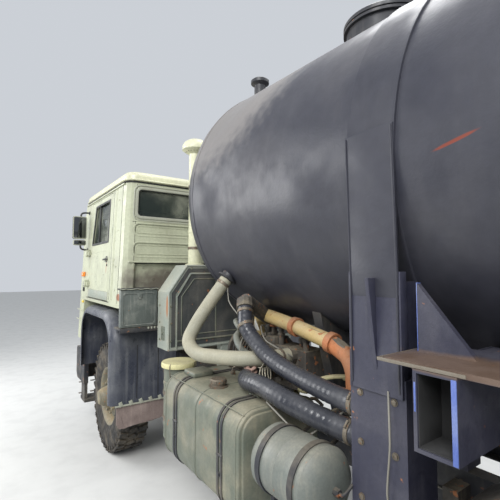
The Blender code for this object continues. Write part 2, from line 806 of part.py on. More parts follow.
def make_front_wheel(name, side, rubber, carrier):
    """Tyre, rim and hub. The rim's inside is open towards the knuckle."""
    centre = at(0, FRONT_AXLE, TYRE_RADIUS)
    middle = FRONT_TRACK / 2
    well = RIM_RADIUS - RIM_LIP * 2
    disc = middle + TYRE_WIDTH / 4
    profile = tyre_profile(middle, TYRE_WIDTH)
    profile += [(middle + TYRE_WIDTH / 2 - TYRE_SHOULDER / 3, well), (disc + HUB_DISC, well - RIM_LIP),
                (disc + HUB_DISC, HUB_RADIUS), (disc + TYRE_WIDTH / 2, HUB_RADIUS * 0.8),
                (disc + TYRE_WIDTH / 2, 0), (disc + HUB_DISC * 2, 0),
                (disc + HUB_DISC * 2, SPINDLE_RADIUS + PIN_PLAY), (disc - HUB_DISC, SPINDLE_RADIUS + PIN_PLAY),
                (disc - HUB_DISC, HUB_RADIUS), (disc, HUB_RADIUS), (disc, well - RIM_LIP),
                (middle - TYRE_WIDTH / 2 + TYRE_SHOULDER / 3, well)]
    shape = turned(profile, centre, X_AXIS, TYRE_STEPS, ring=True, twist=flat_down(TYRE_STEPS))
    pivot = at(middle * side, FRONT_AXLE, TYRE_RADIUS)
    piece(name, rubber, on_side([shape], side), pivot=pivot, carrier=carrier)


def make_twin_wheel(name, side, rubber):
    centre = at(0, FRONT_AXLE + WHEELBASE, TYRE_RADIUS)
    outer = WIDTH / 2 - TYRE_WIDTH / 2 - CLEARANCE
    inner = outer - DUAL_SPACING
    well = RIM_RADIUS - RIM_LIP * 2
    disc = outer - TYRE_WIDTH / 4
    first = tyre_profile(inner, TYRE_WIDTH)
    second = tyre_profile(outer, TYRE_WIDTH)
    middle = (inner + outer) / 2
    profile = [*first, (middle, RIM_RADIUS - RIM_LIP), *second]
    hub_end = outer + TYRE_WIDTH / 4
    axle_hole = outer + SPINDLE_RADIUS
    profile += [(outer + TYRE_WIDTH / 2 - TYRE_SHOULDER / 3, well), (disc + HUB_DISC, well - RIM_LIP),
                (disc + HUB_DISC, HUB_RADIUS), (hub_end, HUB_RADIUS), (hub_end, 0), (axle_hole, 0),
                (axle_hole, SPINDLE_RADIUS + PIN_PLAY), (disc - HUB_DISC, SPINDLE_RADIUS + PIN_PLAY),
                (disc - HUB_DISC, HUB_RADIUS), (disc, HUB_RADIUS), (disc, well - RIM_LIP),
                (inner - TYRE_WIDTH / 2 + TYRE_SHOULDER / 3, well)]
    shape = turned(profile, centre, X_AXIS, TYRE_STEPS, ring=True, twist=flat_down(TYRE_STEPS))
    pivot = at(outer * side, FRONT_AXLE + WHEELBASE, TYRE_RADIUS)
    piece(name, rubber, on_side([shape], side), pivot=pivot)


def make_front_corner(name, side, iron, rubber):
    """A knuckle and its wheel, steering about the kingpin. The wheel rides on the knuckle."""
    kingpin = pivot_empty("kingpin_" + name, at(KINGPIN_HALF * side, FRONT_AXLE, TYRE_RADIUS))
    reach = BOSS_HEIGHT / 2 + CLEARANCE + KNUCKLE_EAR
    bore = rod(at(KINGPIN_HALF, FRONT_AXLE, TYRE_RADIUS - reach - OVERRUN),
               at(KINGPIN_HALF, FRONT_AXLE, TYRE_RADIUS + reach + OVERRUN), PIN_RADIUS + PIN_PLAY, 16)
    piece("knuckle_" + name, iron, on_side(knuckle_shapes(), side), on_side([bore], side),
          pivot=at(KINGPIN_HALF * side, FRONT_AXLE, TYRE_RADIUS), carrier=kingpin)
    make_front_wheel("front_wheel_" + name, side, rubber, kingpin)


# Cab

def cab_block(inset, low, high, front=CAB_FRONT):
    """The cab's outer form, or its hollow where inset is the wall: round corners, with a sloping windscreen."""
    near = front + inset
    far = CAB_REAR - inset
    half = CAB_HALF - inset
    nose = max(CAB_FRONT_CORNER - inset, MERGE) if front == CAB_FRONT else CAB_WALL
    tail = max(CAB_REAR_CORNER - inset, MERGE)
    steps = 3
    points = []
    for side, station, radius, quarter in ((half, far, tail, 0), (-half, far, tail, 1), (-half, near, nose, 2),
                                           (half, near, nose, 3)):
        across = side - math.copysign(radius, side)
        along = far - radius if quarter < 2 else near + radius
        for step in range(steps + 1):
            angle = math.pi / 2 * (quarter + step / steps)
            points.append((across + radius * math.cos(angle), along + radius * math.sin(angle)))
    shape = extruded(points, "Z", low, high)
    slope = Vector((0, -(CAB_TOP - SCREEN_BASE), SCREEN_SLOPE)).normalized()
    place = at(0, CAB_FRONT, SCREEN_BASE) - slope * inset
    cut = bmesh.ops.bisect_plane(shape, geom=[*shape.verts, *shape.edges, *shape.faces], plane_co=place,
                                 plane_no=slope, clear_outer=True)
    rim = [item for item in cut["geom_cut"] if isinstance(item, bmesh.types.BMEdge)]
    if rim:
        bmesh.ops.holes_fill(shape, edges=rim)
    bmesh.ops.recalc_face_normals(shape, faces=shape.faces)
    return shape


def screen_station(height):
    """How far back the windscreen's outer face lies at a height."""
    return CAB_FRONT + SCREEN_SLOPE * (height - SCREEN_BASE) / (CAB_TOP - SCREEN_BASE)


def screen_pane(depth_low, depth_high, play):
    """A pane along the windscreen's slope, between two depths into the wall."""
    outline = []
    for height, depth in ((SCREEN_LOW + play, depth_low), (SCREEN_HIGH - play, depth_low),
                          (SCREEN_HIGH - play, depth_high), (SCREEN_LOW + play, depth_high)):
        outline.append((screen_station(height) + depth, height))
    return extruded(outline, "X", play - SCREEN_HALF, SCREEN_HALF - play)


def rear_window_outline(play):
    return rounded_outline((REAR_WINDOW_INNER + play, REAR_WINDOW_LOW + play),
                           (REAR_WINDOW_OUTER - play, REAR_WINDOW_HIGH - play), WINDOW_CORNER - play)


def door_outline(play):
    return ((DOOR_FRONT + play, DOOR_BOTTOM + play), (DOOR_REAR - play, DOOR_BOTTOM + play),
            (DOOR_REAR - play, DOOR_TOP - play), (DOOR_FRONT + play, DOOR_TOP - play))


def door_window_outline(play):
    front = DOOR_WINDOW_FRONT + play
    return ((front, DOOR_WINDOW_LOW + play), (DOOR_WINDOW_REAR - play, DOOR_WINDOW_LOW + play),
            (DOOR_WINDOW_REAR - play, DOOR_WINDOW_HIGH - play),
            (front + DOOR_WINDOW_SLANT, DOOR_WINDOW_HIGH - play))


def hinge_parts(height):
    """The pillar's bracket and pin, and the door's eye, about the door's hinge line."""
    side = CAB_HALF + HINGE_OUT
    station = DOOR_FRONT - HINGE_AHEAD
    half = HINGE_LENGTH / 2
    shelf = HINGE_LENGTH / 4
    pin = rod(at(side, station, height - half - shelf), at(side, station, height + half + shelf), PIN_RADIUS, 16)
    shelves = []
    for low in (height - half - CLEARANCE - shelf, height + half + CLEARANCE):
        shelves.append(block((CAB_HALF - CAB_WALL / 2, station - HINGE_EYE * 1.3, low),
                             (side + HINGE_EYE * 0.8, station + HINGE_EYE * 0.5, low + shelf)))
    eye = rod(at(side, station, height - half), at(side, station, height + half), HINGE_EYE, 16)
    strap = block((CAB_HALF - CAB_WALL / 4, station + PIN_RADIUS * 1.4, height - half * 0.9),
                  (side, DOOR_FRONT + HINGE_LENGTH, height + half * 0.9))
    bore = rod(at(side, station, height - HINGE_LENGTH), at(side, station, height + HINGE_LENGTH),
               PIN_RADIUS + PIN_PLAY, 16)
    return [pin, *shelves], [eye, strap], bore


def make_cab_shell(paint, tilt):
    outer = [cab_block(0, CAB_BOTTOM, CAB_TOP)]
    for height in HINGE_HEIGHTS:
        outer += both_sides(hinge_parts(height)[0])
    floor = CAB_ARCH + CAB_WALL
    step_front = CAB_FRONT + CAB_WALL
    cuts = [block((-WIDTH, CAB_ARCH_FRONT, CAB_BOTTOM - OVERRUN), (WIDTH, CAB_REAR + WIDTH, CAB_ARCH)),
            cab_block(CAB_WALL, floor, CAB_TOP + OVERRUN),
            block((CAB_WALL * 2 - CAB_HALF, step_front, CAB_BOTTOM + CAB_WALL),
                  (CAB_HALF - CAB_WALL * 2, CAB_ARCH_FRONT - CAB_WALL, floor + OVERRUN)),
            block((-REAR_STEP_HALF, CAB_REAR - REAR_STEP, CAB_BOTTOM),
                  (REAR_STEP_HALF, CAB_REAR + OVERRUN, REAR_SEAM)),
            screen_pane(-OVERRUN * 2, CAB_WALL * 2, 0)]
    window = extruded(rear_window_outline(0), "Y", CAB_REAR - CAB_WALL * 2, CAB_REAR + OVERRUN)
    cuts += both_sides([window])
    for low, high in STAMPINGS:
        outline = rounded_outline((STAMPING_INNER, low), (STAMPING_OUTER, high), WINDOW_CORNER)
        cuts += both_sides([extruded(outline, "Y", CAB_REAR - STAMPING_DEPTH, CAB_REAR + OVERRUN)])
    way = extruded(door_outline(0), "X", CAB_HALF - CAB_WALL * 2, CAB_HALF + CAB_WALL / 4)
    cuts += both_sides([way])
    bore = rod(at(TILT_LUG_INNER - OVERRUN, TILT_STATION, TILT_HEIGHT),
               at(TILT_LUG_INNER + OVERRUN * 2, TILT_STATION, TILT_HEIGHT), PIN_RADIUS + PIN_PLAY, 16)
    lug = block((TILT_LUG_INNER, TILT_STATION - TILT_LUG_RADIUS * 0.7, TILT_HEIGHT - TILT_LUG_RADIUS * 0.7),
                (TILT_LUG_INNER + TILT_LUG_WIDTH, TILT_STATION + TILT_LUG_RADIUS * 0.7,
                 CAB_BOTTOM + CAB_WALL / 2))
    leaning([*outer, *cuts])
    piece("cab_shell", paint, [*outer, *both_sides([lug])], [*cuts, *both_sides([bore])],
          pivot=tilt.matrix_world.translation, carrier=tilt)


def make_cab_roof(paint, tilt):
    front = screen_station(CAB_TOP) - ROOF_OVERHANG
    lean = 1 - CAB_LEAN
    half = CAB_HALF * lean + ROOF_OVERHANG / 2
    shape = block((-half, front, CAB_TOP + GAP), (half, CAB_REAR + ROOF_OVERHANG / 2, CAB_TOP + ROOF_HEIGHT))
    upright = [edge for edge in shape.edges if abs(edge.verts[0].co.z - edge.verts[1].co.z) > ROOF_HEIGHT / 2]
    bmesh.ops.bevel(shape, geom=upright, offset=CAB_REAR_CORNER, affect="EDGES", segments=3, profile=0.5,
                    material=-1)
    rim = [edge for edge in shape.edges
           if min(vert.co.z for vert in edge.verts) > CAB_TOP + ROOF_HEIGHT - MERGE]
    bmesh.ops.bevel(shape, geom=rim, offset=ROOF_EDGE, affect="EDGES", segments=3, profile=0.5, material=-1)
    piece("cab_roof", paint, [shape], pivot=tilt.matrix_world.translation, carrier=tilt)


def make_cab_glass(glass, tilt):
    depth = (CAB_WALL - GLASS) / 2
    pivot = tilt.matrix_world.translation
    shapes = leaning([screen_pane(depth, depth + GLASS, GAP * 2)])
    piece("windshield", glass, shapes, pivot=pivot, carrier=tilt)
    for name, side in (("left", 1), ("right", -1)):
        pane = extruded(rear_window_outline(GAP * 2), "Y", CAB_REAR - depth - GLASS, CAB_REAR - depth)
        piece("rear_window_" + name, glass, on_side(leaning([pane]), side), pivot=pivot, carrier=tilt)


def make_door(name, side, paint, glass, tilt):
    """A door as thick as the wall, with its window cut and its pane, hung on the pillar's pins."""
    outer = extruded(door_outline(CLEARANCE), "X", CAB_HALF - CAB_WALL, CAB_HALF)
    window = extruded(door_window_outline(0), "X", CAB_HALF - CAB_WALL * 2, CAB_HALF + CAB_WALL)
    depth = (CAB_WALL - GLASS) / 2
    pane = extruded(door_window_outline(GAP * 2), "X", CAB_HALF - depth - GLASS, CAB_HALF - depth)
    shapes = [outer]
    cuts = [window]
    for height in HINGE_HEIGHTS:
        _, eyes, bore = hinge_parts(height)
        shapes += eyes
        cuts.append(bore)
    leaning([*shapes, *cuts, pane])
    hinge = pivot_empty("hinge_" + name, at((CAB_HALF + HINGE_OUT) * side, DOOR_FRONT - HINGE_AHEAD, DOOR_BOTTOM),
                        tilt)
    pivot = hinge.matrix_world.translation
    piece("door_" + name, paint, on_side(shapes, side), on_side(cuts, side), pivot=pivot, carrier=hinge)
    piece("door_glass_" + name, glass, on_side([pane], side), pivot=pivot, carrier=hinge)


def make_seat(name, side, cloth, tilt):
    floor = CAB_ARCH + CAB_WALL + GAP
    inner = SEAT_HALF - SEAT_WIDTH / 2
    outer = SEAT_HALF + SEAT_WIDTH / 2
    seat_low = floor + SEAT_HEIGHT - SEAT_THICKNESS
    inset = SEAT_WIDTH / 5
    base = block((inner + inset, SEAT_FRONT + inset, floor), (outer - inset, SEAT_REAR - inset, seat_low + GLASS))
    cushion = block((inner, SEAT_FRONT, seat_low), (outer, SEAT_REAR, floor + SEAT_HEIGHT))
    back = block((inner, SEAT_REAR - SEAT_BACK_THICKNESS, floor + SEAT_HEIGHT - OVERRUN),
                 (outer, SEAT_REAR, floor + SEAT_HEIGHT + SEAT_BACK_HEIGHT))
    piece("seat_" + name, cloth, on_side([cushion, base, back], side), pivot=tilt.matrix_world.translation,
          carrier=tilt)


def make_dashboard(plastic, tilt):
    front = screen_station(DASH_HIGH) + CAB_WALL + CAB_WALL / 4
    near = CAB_FRONT + CAB_WALL + CLEARANCE
    outline = ((near, DASH_LOW), (DASH_REAR, DASH_LOW), (DASH_REAR, DASH_HIGH - OVERRUN),
               (DASH_REAR - OVERRUN, DASH_HIGH), (front, DASH_HIGH), (near, SCREEN_BASE))
    body = extruded(outline, "X", -DASH_HALF, DASH_HALF)
    leg = block((-DASH_LEG_HALF, CAB_ARCH_FRONT - CAB_WALL / 2, CAB_ARCH + CAB_WALL + GAP),
                (DASH_LEG_HALF, DASH_REAR - CLEARANCE, DASH_LOW + OVERRUN))
    centre = at(SEAT_HALF, STEERING_STATION, STEERING_HEIGHT)
    along = Vector((0, COLUMN_RADIUS, SCREEN_SLOPE)).normalized()
    root = at(SEAT_HALF, DASH_REAR - OVERRUN, DASH_HIGH - ROOF_HEIGHT)
    column = rod(root, centre, COLUMN_RADIUS)
    ring = []
    for step in range(6):
        angle = math.tau * step / 6
        ring.append((STEERING_TUBE * math.sin(angle), STEERING_RADIUS + STEERING_TUBE * math.cos(angle)))
    rim = turned(ring, centre, along, 20, ring=True)
    shapes = [body, leg, column, rod(centre - X_AXIS * STEERING_RADIUS, centre + X_AXIS * STEERING_RADIUS,
                                     STEERING_TUBE * 0.8, 8)]
    piece("dashboard", plastic, [*shapes, rim], pivot=tilt.matrix_world.translation, carrier=tilt)


def make_mirror(name, side, plastic, tilt):
    station = MIRROR_STATION
    reach = MIRROR_OUT - MIRROR_WIDTH / 2
    head = block((MIRROR_OUT - MIRROR_WIDTH, station, MIRROR_LOW),
                 (MIRROR_OUT, station + MIRROR_DEPTH, MIRROR_HIGH))
    middle = station + MIRROR_DEPTH / 2
    arms = []
    for height in (MIRROR_LOW - OVERRUN, MIRROR_HIGH + OVERRUN):
        lean = 1 - CAB_LEAN * (height - DOOR_BOTTOM) / (CAB_TOP - DOOR_BOTTOM)
        arms.append(rod(at(CAB_HALF * lean + GAP * 3, middle, height), at(reach, middle, height), MIRROR_ARM, 8))
    post = rod(at(reach - MIRROR_ARM, middle, MIRROR_LOW - OVERRUN - MIRROR_ARM),
               at(reach - MIRROR_ARM, middle, MIRROR_HIGH + OVERRUN + MIRROR_ARM), MIRROR_ARM, 8)
    piece("mirror_" + name, plastic, on_side([head, *arms, post], side), pivot=tilt.matrix_world.translation,
          carrier=tilt)


# Behind the cab

def make_mudguard(name, side, plastic):
    """A moulded arch over the wheel, with a locker behind the cab and a rubber flap below."""
    front = FRONT_AXLE - GUARD_REACH
    rear = FRONT_AXLE + GUARD_REACH
    outer = rounded_outline((front - GUARD_WALL, GUARD_BOTTOM - GUARD_CORNER * 2), (rear + GUARD_WALL, GUARD_TOP),
                            GUARD_CORNER, 6)
    inner = rounded_outline((front, GUARD_BOTTOM - GUARD_CORNER * 2), (rear, GUARD_TOP - GUARD_WALL),
                            GUARD_CORNER - GUARD_WALL, 6)
    arch = extruded(outer, "X", GUARD_INNER, GUARD_OUTER)
    hollow = extruded(inner, "X", GUARD_INNER - OVERRUN, GUARD_OUTER + OVERRUN)
    below = block((0, FRONT_AXLE, -WIDTH), (WIDTH, rear + OVERRUN, GUARD_BOTTOM))
    ahead = block((0, front - OVERRUN, -WIDTH), (WIDTH, FRONT_AXLE + OVERRUN, GUARD_FRONT_BOTTOM))
    tall = block((BOX_INNER, CAB_REAR + CLEARANCE * 2, BOX_BOTTOM), (BOX_OUTER, BOX_REAR, BOX_TOP))
    low_top = CAB_ARCH - GUARD_WALL
    base = block((BOX_INNER, rear - GUARD_CORNER / 2, BOX_BOTTOM),
                 (BOX_OUTER - GUARD_WALL / 4, BOX_REAR - GUARD_WALL / 4, low_top))
    flap = block((FLAP_INNER, rear + (GUARD_WALL - FLAP_WALL) / 2, FLAP_BOTTOM),
                 (FLAP_OUTER, rear + (GUARD_WALL + FLAP_WALL) / 2, GUARD_BOTTOM + OVERRUN))
    arm = block((FRAME_HALF + GAP, rear + GUARD_WALL / 2, GUARD_ARM_HEIGHT),
                (GUARD_INNER + OVERRUN, rear + GUARD_ARM, GUARD_ARM_HEIGHT + GUARD_ARM))
    made = piece("front_mudguard_" + name, plastic, on_side([arch, base, tall], side),
                 on_side([hollow, below, ahead], side))
    for added in (flap, arm):
        boolean(made, on_side([added], side), "UNION")


def shroud_outline(inset, bottom):
    half = SHROUD_HALF - inset
    shoulder = SHROUD_SHOULDER - inset / 2
    top_half = SHROUD_TOP_HALF - inset / 2
    top = SHROUD_TOP - inset
    return ((-half, bottom), (half, bottom), (half, shoulder),
            (top_half, top), (-top_half, top), (-half, shoulder))


def make_shroud(paint):
    body = extruded(shroud_outline(0, SHROUD_BOTTOM), "Y", SHROUD_FRONT, SHROUD_REAR)
    hollow = extruded(shroud_outline(SHROUD_WALL, SHROUD_BOTTOM - OVERRUN), "Y", SHROUD_FRONT - OVERRUN,
                      SHROUD_REAR - SHROUD_WALL)
    rib = extruded(shroud_outline(SHROUD_RIB_INSET, SHROUD_BOTTOM), "Y", SHROUD_REAR - SHROUD_WALL / 2,
                   SHROUD_REAR + SHROUD_RIB)
    inside = extruded(shroud_outline(SHROUD_RIB_INSET + SHROUD_RIB, SHROUD_BOTTOM - OVERRUN), "Y", SHROUD_REAR,
                      SHROUD_REAR + OVERRUN)
    leg = block((FRAME_HALF - RAIL_FLANGE, SHROUD_REAR - SHROUD_LEG, RAIL_TOP + GAP),
                (FRAME_HALF, SHROUD_REAR - SHROUD_WALL / 4, SHROUD_BOTTOM + OVERRUN))
    made = piece("engine_shroud", paint, [body])
    boolean(made, [hollow], "DIFFERENCE")
    boolean(made, [rib], "UNION")
    boolean(made, [inside], "DIFFERENCE")
    for shape in both_sides([leg]):
        boolean(made, [shape], "UNION")


def make_intake(paint):
    base = at(INTAKE_HALF, INTAKE_STATION, SHROUD_TOP + GAP)
    tall = INTAKE_TOP - SHROUD_TOP
    neck = tall - INTAKE_CAP_HEIGHT
    profile = ((0, 0), (0, INTAKE_FOOT), (INTAKE_FOOT_HEIGHT, INTAKE_FOOT), (INTAKE_FOOT_HEIGHT, INTAKE_RADIUS),
               (neck, INTAKE_RADIUS), (neck, INTAKE_CAP), (neck + INTAKE_CAP_HEIGHT / 2, INTAKE_CAP),
               (tall - GAP, INTAKE_CAP / 2), (tall - GAP, 0))
    piece("air_intake", paint, [turned(profile, base, Z_AXIS, 16)])


# Chassis boxes and tanks

def chassis_arm(inner, station):
    """An arm from the rail's outer face into what hangs beside it."""
    return block((FRAME_HALF + GAP, station - ARM_WIDTH / 2, ARM_LEVEL),
                 (inner + OVERRUN, station + ARM_WIDTH / 2, ARM_LEVEL + ARM_HEIGHT))


def make_fuel_tank(paint):
    outline = rounded_outline((FUEL_INNER, FUEL_LOW), (FUEL_OUTER - FUEL_STRAP_HEIGHT, FUEL_HIGH), FUEL_CORNER)
    body = extruded(outline, "Y", FUEL_FRONT, FUEL_REAR)
    shapes = [body]
    for share in FUEL_STRAP_SHARES:
        middle = FUEL_FRONT + (FUEL_REAR - FUEL_FRONT) * share
        strap = rounded_outline((FUEL_INNER - FUEL_STRAP_HEIGHT, FUEL_LOW - FUEL_STRAP_HEIGHT),
                                (FUEL_OUTER, FUEL_HIGH + FUEL_STRAP_HEIGHT), FUEL_CORNER + FUEL_STRAP_HEIGHT)
        shapes.append(extruded(strap, "Y", middle - FUEL_STRAP / 2, middle + FUEL_STRAP / 2))
        shapes.append(chassis_arm(FUEL_INNER, middle + FUEL_STRAP * 2))
    cap_station = (FUEL_FRONT + FUEL_REAR) / 2
    cap_side = FUEL_OUTER - FUEL_CORNER - FUEL_CAP_RADIUS
    shapes.append(rod(at(cap_side, cap_station, FUEL_HIGH - OVERRUN / 2),
                      at(cap_side, cap_station, FUEL_HIGH + FUEL_CAP_RADIUS), FUEL_CAP_RADIUS))
    piece("fuel_tank", paint, shapes)


def make_receiver(paint):
    start = at(RECEIVER_HALF, RECEIVER_FRONT, RECEIVER_HEIGHT)
    length = RECEIVER_REAR - RECEIVER_FRONT
    crown = RECEIVER_RADIUS / 4
    profile = ((0, 0), (crown / 3, RECEIVER_RADIUS * 0.6), (crown, RECEIVER_RADIUS),
               (length - crown, RECEIVER_RADIUS), (length - crown / 3, RECEIVER_RADIUS * 0.6), (length, 0))
    body = turned(profile, start, Y_AXIS, 20)
    arm = block((FRAME_HALF + GAP, (RECEIVER_FRONT + RECEIVER_REAR - ARM_WIDTH) / 2, ARM_LEVEL),
                (RECEIVER_HALF, (RECEIVER_FRONT + RECEIVER_REAR + ARM_WIDTH) / 2, ARM_LEVEL + ARM_HEIGHT))
    piece("air_receiver", paint, [body, arm])


def make_canister(paint):
    base = at(CANISTER_HALF, CANISTER_STATION, CANISTER_LOW)
    tall = CANISTER_HIGH - CANISTER_LOW
    radius = CANISTER_RADIUS
    band = radius + CANISTER_BAND
    lid = CANISTER_BAND * 2
    profile = [(0, 0), (0, radius * 0.8), (tall * 0.06, radius)]
    for share in (0.42, 0.66):
        profile += [(tall * share, radius), (tall * share, band), (tall * share + lid, band),
                    (tall * share + lid, radius)]
    profile += [(tall - lid * 2, radius), (tall - lid * 2, CANISTER_CAP), (tall - lid, CANISTER_CAP), (tall, 0)]
    piece("filter_canister", paint, [turned(profile, base, Z_AXIS, 18),
                                     chassis_arm(CANISTER_HALF - radius, CANISTER_STATION)])


def make_battery_box(steel):
    body = block((BATTERY_INNER, BATTERY_FRONT, BATTERY_LOW), (BATTERY_OUTER, BATTERY_REAR, BATTERY_HIGH))
    lid = block((BATTERY_INNER - OVERRUN / 4, BATTERY_FRONT - OVERRUN / 4, BATTERY_HIGH - OVERRUN),
                (BATTERY_OUTER + OVERRUN / 4, BATTERY_REAR + OVERRUN / 4, BATTERY_HIGH + OVERRUN / 4))
    arm = chassis_arm(BATTERY_INNER, (BATTERY_FRONT + BATTERY_REAR) / 2)
    piece("battery_box", steel, on_side([body, lid, arm], -1))


# Tank

def tank_turn():
    return Matrix.Rotation(math.radians(-TANK_TILT), 4, "X")


def tilted(shape):
    """Tips a shape about the tank's middle strap, with the tank's front a little higher."""
    bmesh.ops.rotate(shape, verts=shape.verts, cent=at(0, TANK_PIVOT, TANK_AXIS_HEIGHT),
                     matrix=tank_turn().to_3x3())
    return shape


def tank_body(extra, bands=()):
    """The tank's cylinder with its two domed heads and its bands, grown by extra all round."""
    rings = [math.pi / 2 * step / HEAD_RINGS for step in range(HEAD_RINGS + 1)]
    radius = TANK_RADIUS + extra
    head = TANK_HEAD + extra
    profile = [(-head * math.cos(turn), radius * math.sin(turn)) for turn in rings]
    for station, width in bands:
        near = station - TANK_FRONT
        profile += [(near, radius), (near, radius + BAND_HEIGHT), (near + width, radius + BAND_HEIGHT),
                    (near + width, radius)]
    profile += [(TANK_CYLINDER + head * math.cos(turn), radius * math.sin(turn)) for turn in reversed(rings)]
    return tilted(turned(profile, at(0, TANK_FRONT, TANK_AXIS_HEIGHT), Y_AXIS, TANK_STEPS))


def riser_start():
    return at(0.80, 3.10, 1.84)


def riser_route():
    """The hose from the tank's side, down to a bend above the canister and back in to the pump."""
    return [riser_start(), at(0.92, 3.075, 1.68), at(1.03, 3.06, 1.52), at(1.085, 3.07, 1.41),
            at(1.07, 3.17, 1.345), at(1.02, 3.33, 1.345), at(0.965, 3.48, 1.355), at(0.88, 3.57, 1.358),
            at(0.77, 3.61, 1.355), at(0.64, 3.61, 1.355)]


def make_tank(black):
    rear_band = REAR_CRADLE_STATION + (REAR_CRADLE_DEPTH - REAR_BAND_WIDTH) / 2
    body = tank_body(0, ((BAND_FRONT, BAND_WIDTH), (rear_band, REAR_BAND_WIDTH)))
    top = TANK_AXIS_HEIGHT + TANK_RADIUS
    neck = tilted(rod(at(0, NECK_STATION, top - NECK_RADIUS / 2), at(0, NECK_STATION, top + NECK_HEIGHT),
                      NECK_RADIUS, 24))
    vent_tall = VENT_TOP - TANK_AXIS_HEIGHT - TANK_RADIUS * 0.8
    vent = turned(((0, 0), (0, VENT_RADIUS), (vent_tall - VENT_CAP / 2, VENT_RADIUS),
                   (vent_tall - VENT_CAP / 2, VENT_CAP), (vent_tall, VENT_CAP), (vent_tall, 0)),
                  at(VENT_SIDE, VENT_STATION, VENT_TOP - vent_tall), Z_AXIS, 14)
    route = riser_route()
    way = (route[0] - route[1]).normalized()
    port = rod(route[0] + way * (RISER_RADIUS * 3), route[0] + way * GAP, RISER_RADIUS + PORT_WALL)
    outlet = rod(at(OUTLET_SIDE, TANK_FRONT + TANK_CYLINDER, OUTLET_HEIGHT), at(OUTLET_SIDE, OUTLET_REAR,
                                                                               OUTLET_HEIGHT), OUTLET_RADIUS, 14)
    flange = rod(at(OUTLET_SIDE, OUTLET_REAR - OUTLET_FLANGE_DEPTH, OUTLET_HEIGHT),
                 at(OUTLET_SIDE, OUTLET_REAR + MERGE * 50, OUTLET_HEIGHT), OUTLET_FLANGE, 16)
    hinge, _, _ = lid_parts()
    piece("tank_shell", black, [body, neck, vent, port, outlet, flange, *hinge])


def lid_hinge():
    """Where the lid's hinge pin lies: behind the neck, level with its rim."""
    rear = NECK_STATION + LID_RADIUS + HINGE_EYE * 2
    return Vector(tank_turn() @ (at(0, rear, TANK_AXIS_HEIGHT + TANK_RADIUS + NECK_HEIGHT)
                                 - at(0, TANK_PIVOT, TANK_AXIS_HEIGHT))) + at(0, TANK_PIVOT, TANK_AXIS_HEIGHT)


def lid_parts():
    """The neck's two hinge cheeks with their pin, the lid with its eye, and the eye's bore."""
    rim = TANK_AXIS_HEIGHT + TANK_RADIUS + NECK_HEIGHT
    rear = NECK_STATION + LID_RADIUS + HINGE_EYE * 2
    half = HINGE_LENGTH / 2
    cheek = HINGE_LENGTH / 4
    cheeks = []
    for inner in (-half - CLEARANCE - cheek, half + CLEARANCE):
        cheeks.append(tilted(block((inner, NECK_STATION + NECK_RADIUS * 0.9, rim - NECK_HEIGHT / 2),
                                   (inner + cheek, rear, rim - CLEARANCE))))
        cheeks.append(tilted(block((inner, rear - HINGE_EYE * 0.7, rim - NECK_HEIGHT / 4),
                                   (inner + cheek, rear + HINGE_EYE * 0.7, rim + HINGE_EYE * 0.7))))
    pin = tilted(rod(at(-half - CLEARANCE - cheek / 2, rear, rim), at(half + CLEARANCE + cheek / 2, rear, rim),
                     PIN_RADIUS, 16))
    low = rim + CLEARANCE
    lid = tilted(turned(((0, 0), (0, LID_RADIUS - CLEARANCE), (LID_HEIGHT, LID_RADIUS - CLEARANCE),
                         (LID_HEIGHT * 2, LID_RADIUS / 3), (LID_HEIGHT * 2, 0)),
                        at(0, NECK_STATION, low), Z_AXIS, 24))
    eye = tilted(rod(at(-half, rear, rim), at(half, rear, rim), HINGE_EYE, 16))
    strap = tilted(block((-half * 0.9, NECK_STATION + LID_RADIUS / 2, low + LID_HEIGHT / 4),
                         (half * 0.9, rear + HINGE_EYE / 4, low + LID_HEIGHT / 4 + HINGE_EYE / 2)))
    bore = tilted(rod(at(-HINGE_LENGTH, rear, rim), at(HINGE_LENGTH, rear, rim), PIN_RADIUS + PIN_PLAY, 16))
    return [*cheeks, pin], [lid, eye, strap], bore


def make_lid(black):
    _, shapes, bore = lid_parts()
    piece("manhole_lid", black, shapes, [bore], pivot=lid_hinge())


# Tank carriers

def seated(name, finish, shapes):
    """A carrier cut to the tank's round underside and bands, with a touching gap."""
    piece(name, finish, shapes, [tank_body(BAND_HEIGHT + GAP * 2)])


def make_front_saddle(steel):
    rear = SADDLE_STATION + SADDLE_DEPTH
    outline = ((-SADDLE_FOOT_HALF, RAIL_TOP + GAP), (SADDLE_FOOT_HALF, RAIL_TOP + GAP), (SADDLE_HALF, SADDLE_TOP),
               (-SADDLE_HALF, SADDLE_TOP))
    plate = extruded(outline, "Y", SADDLE_STATION, rear)
    piece("front_saddle", steel, [plate], [tank_body(GAP * 2)])


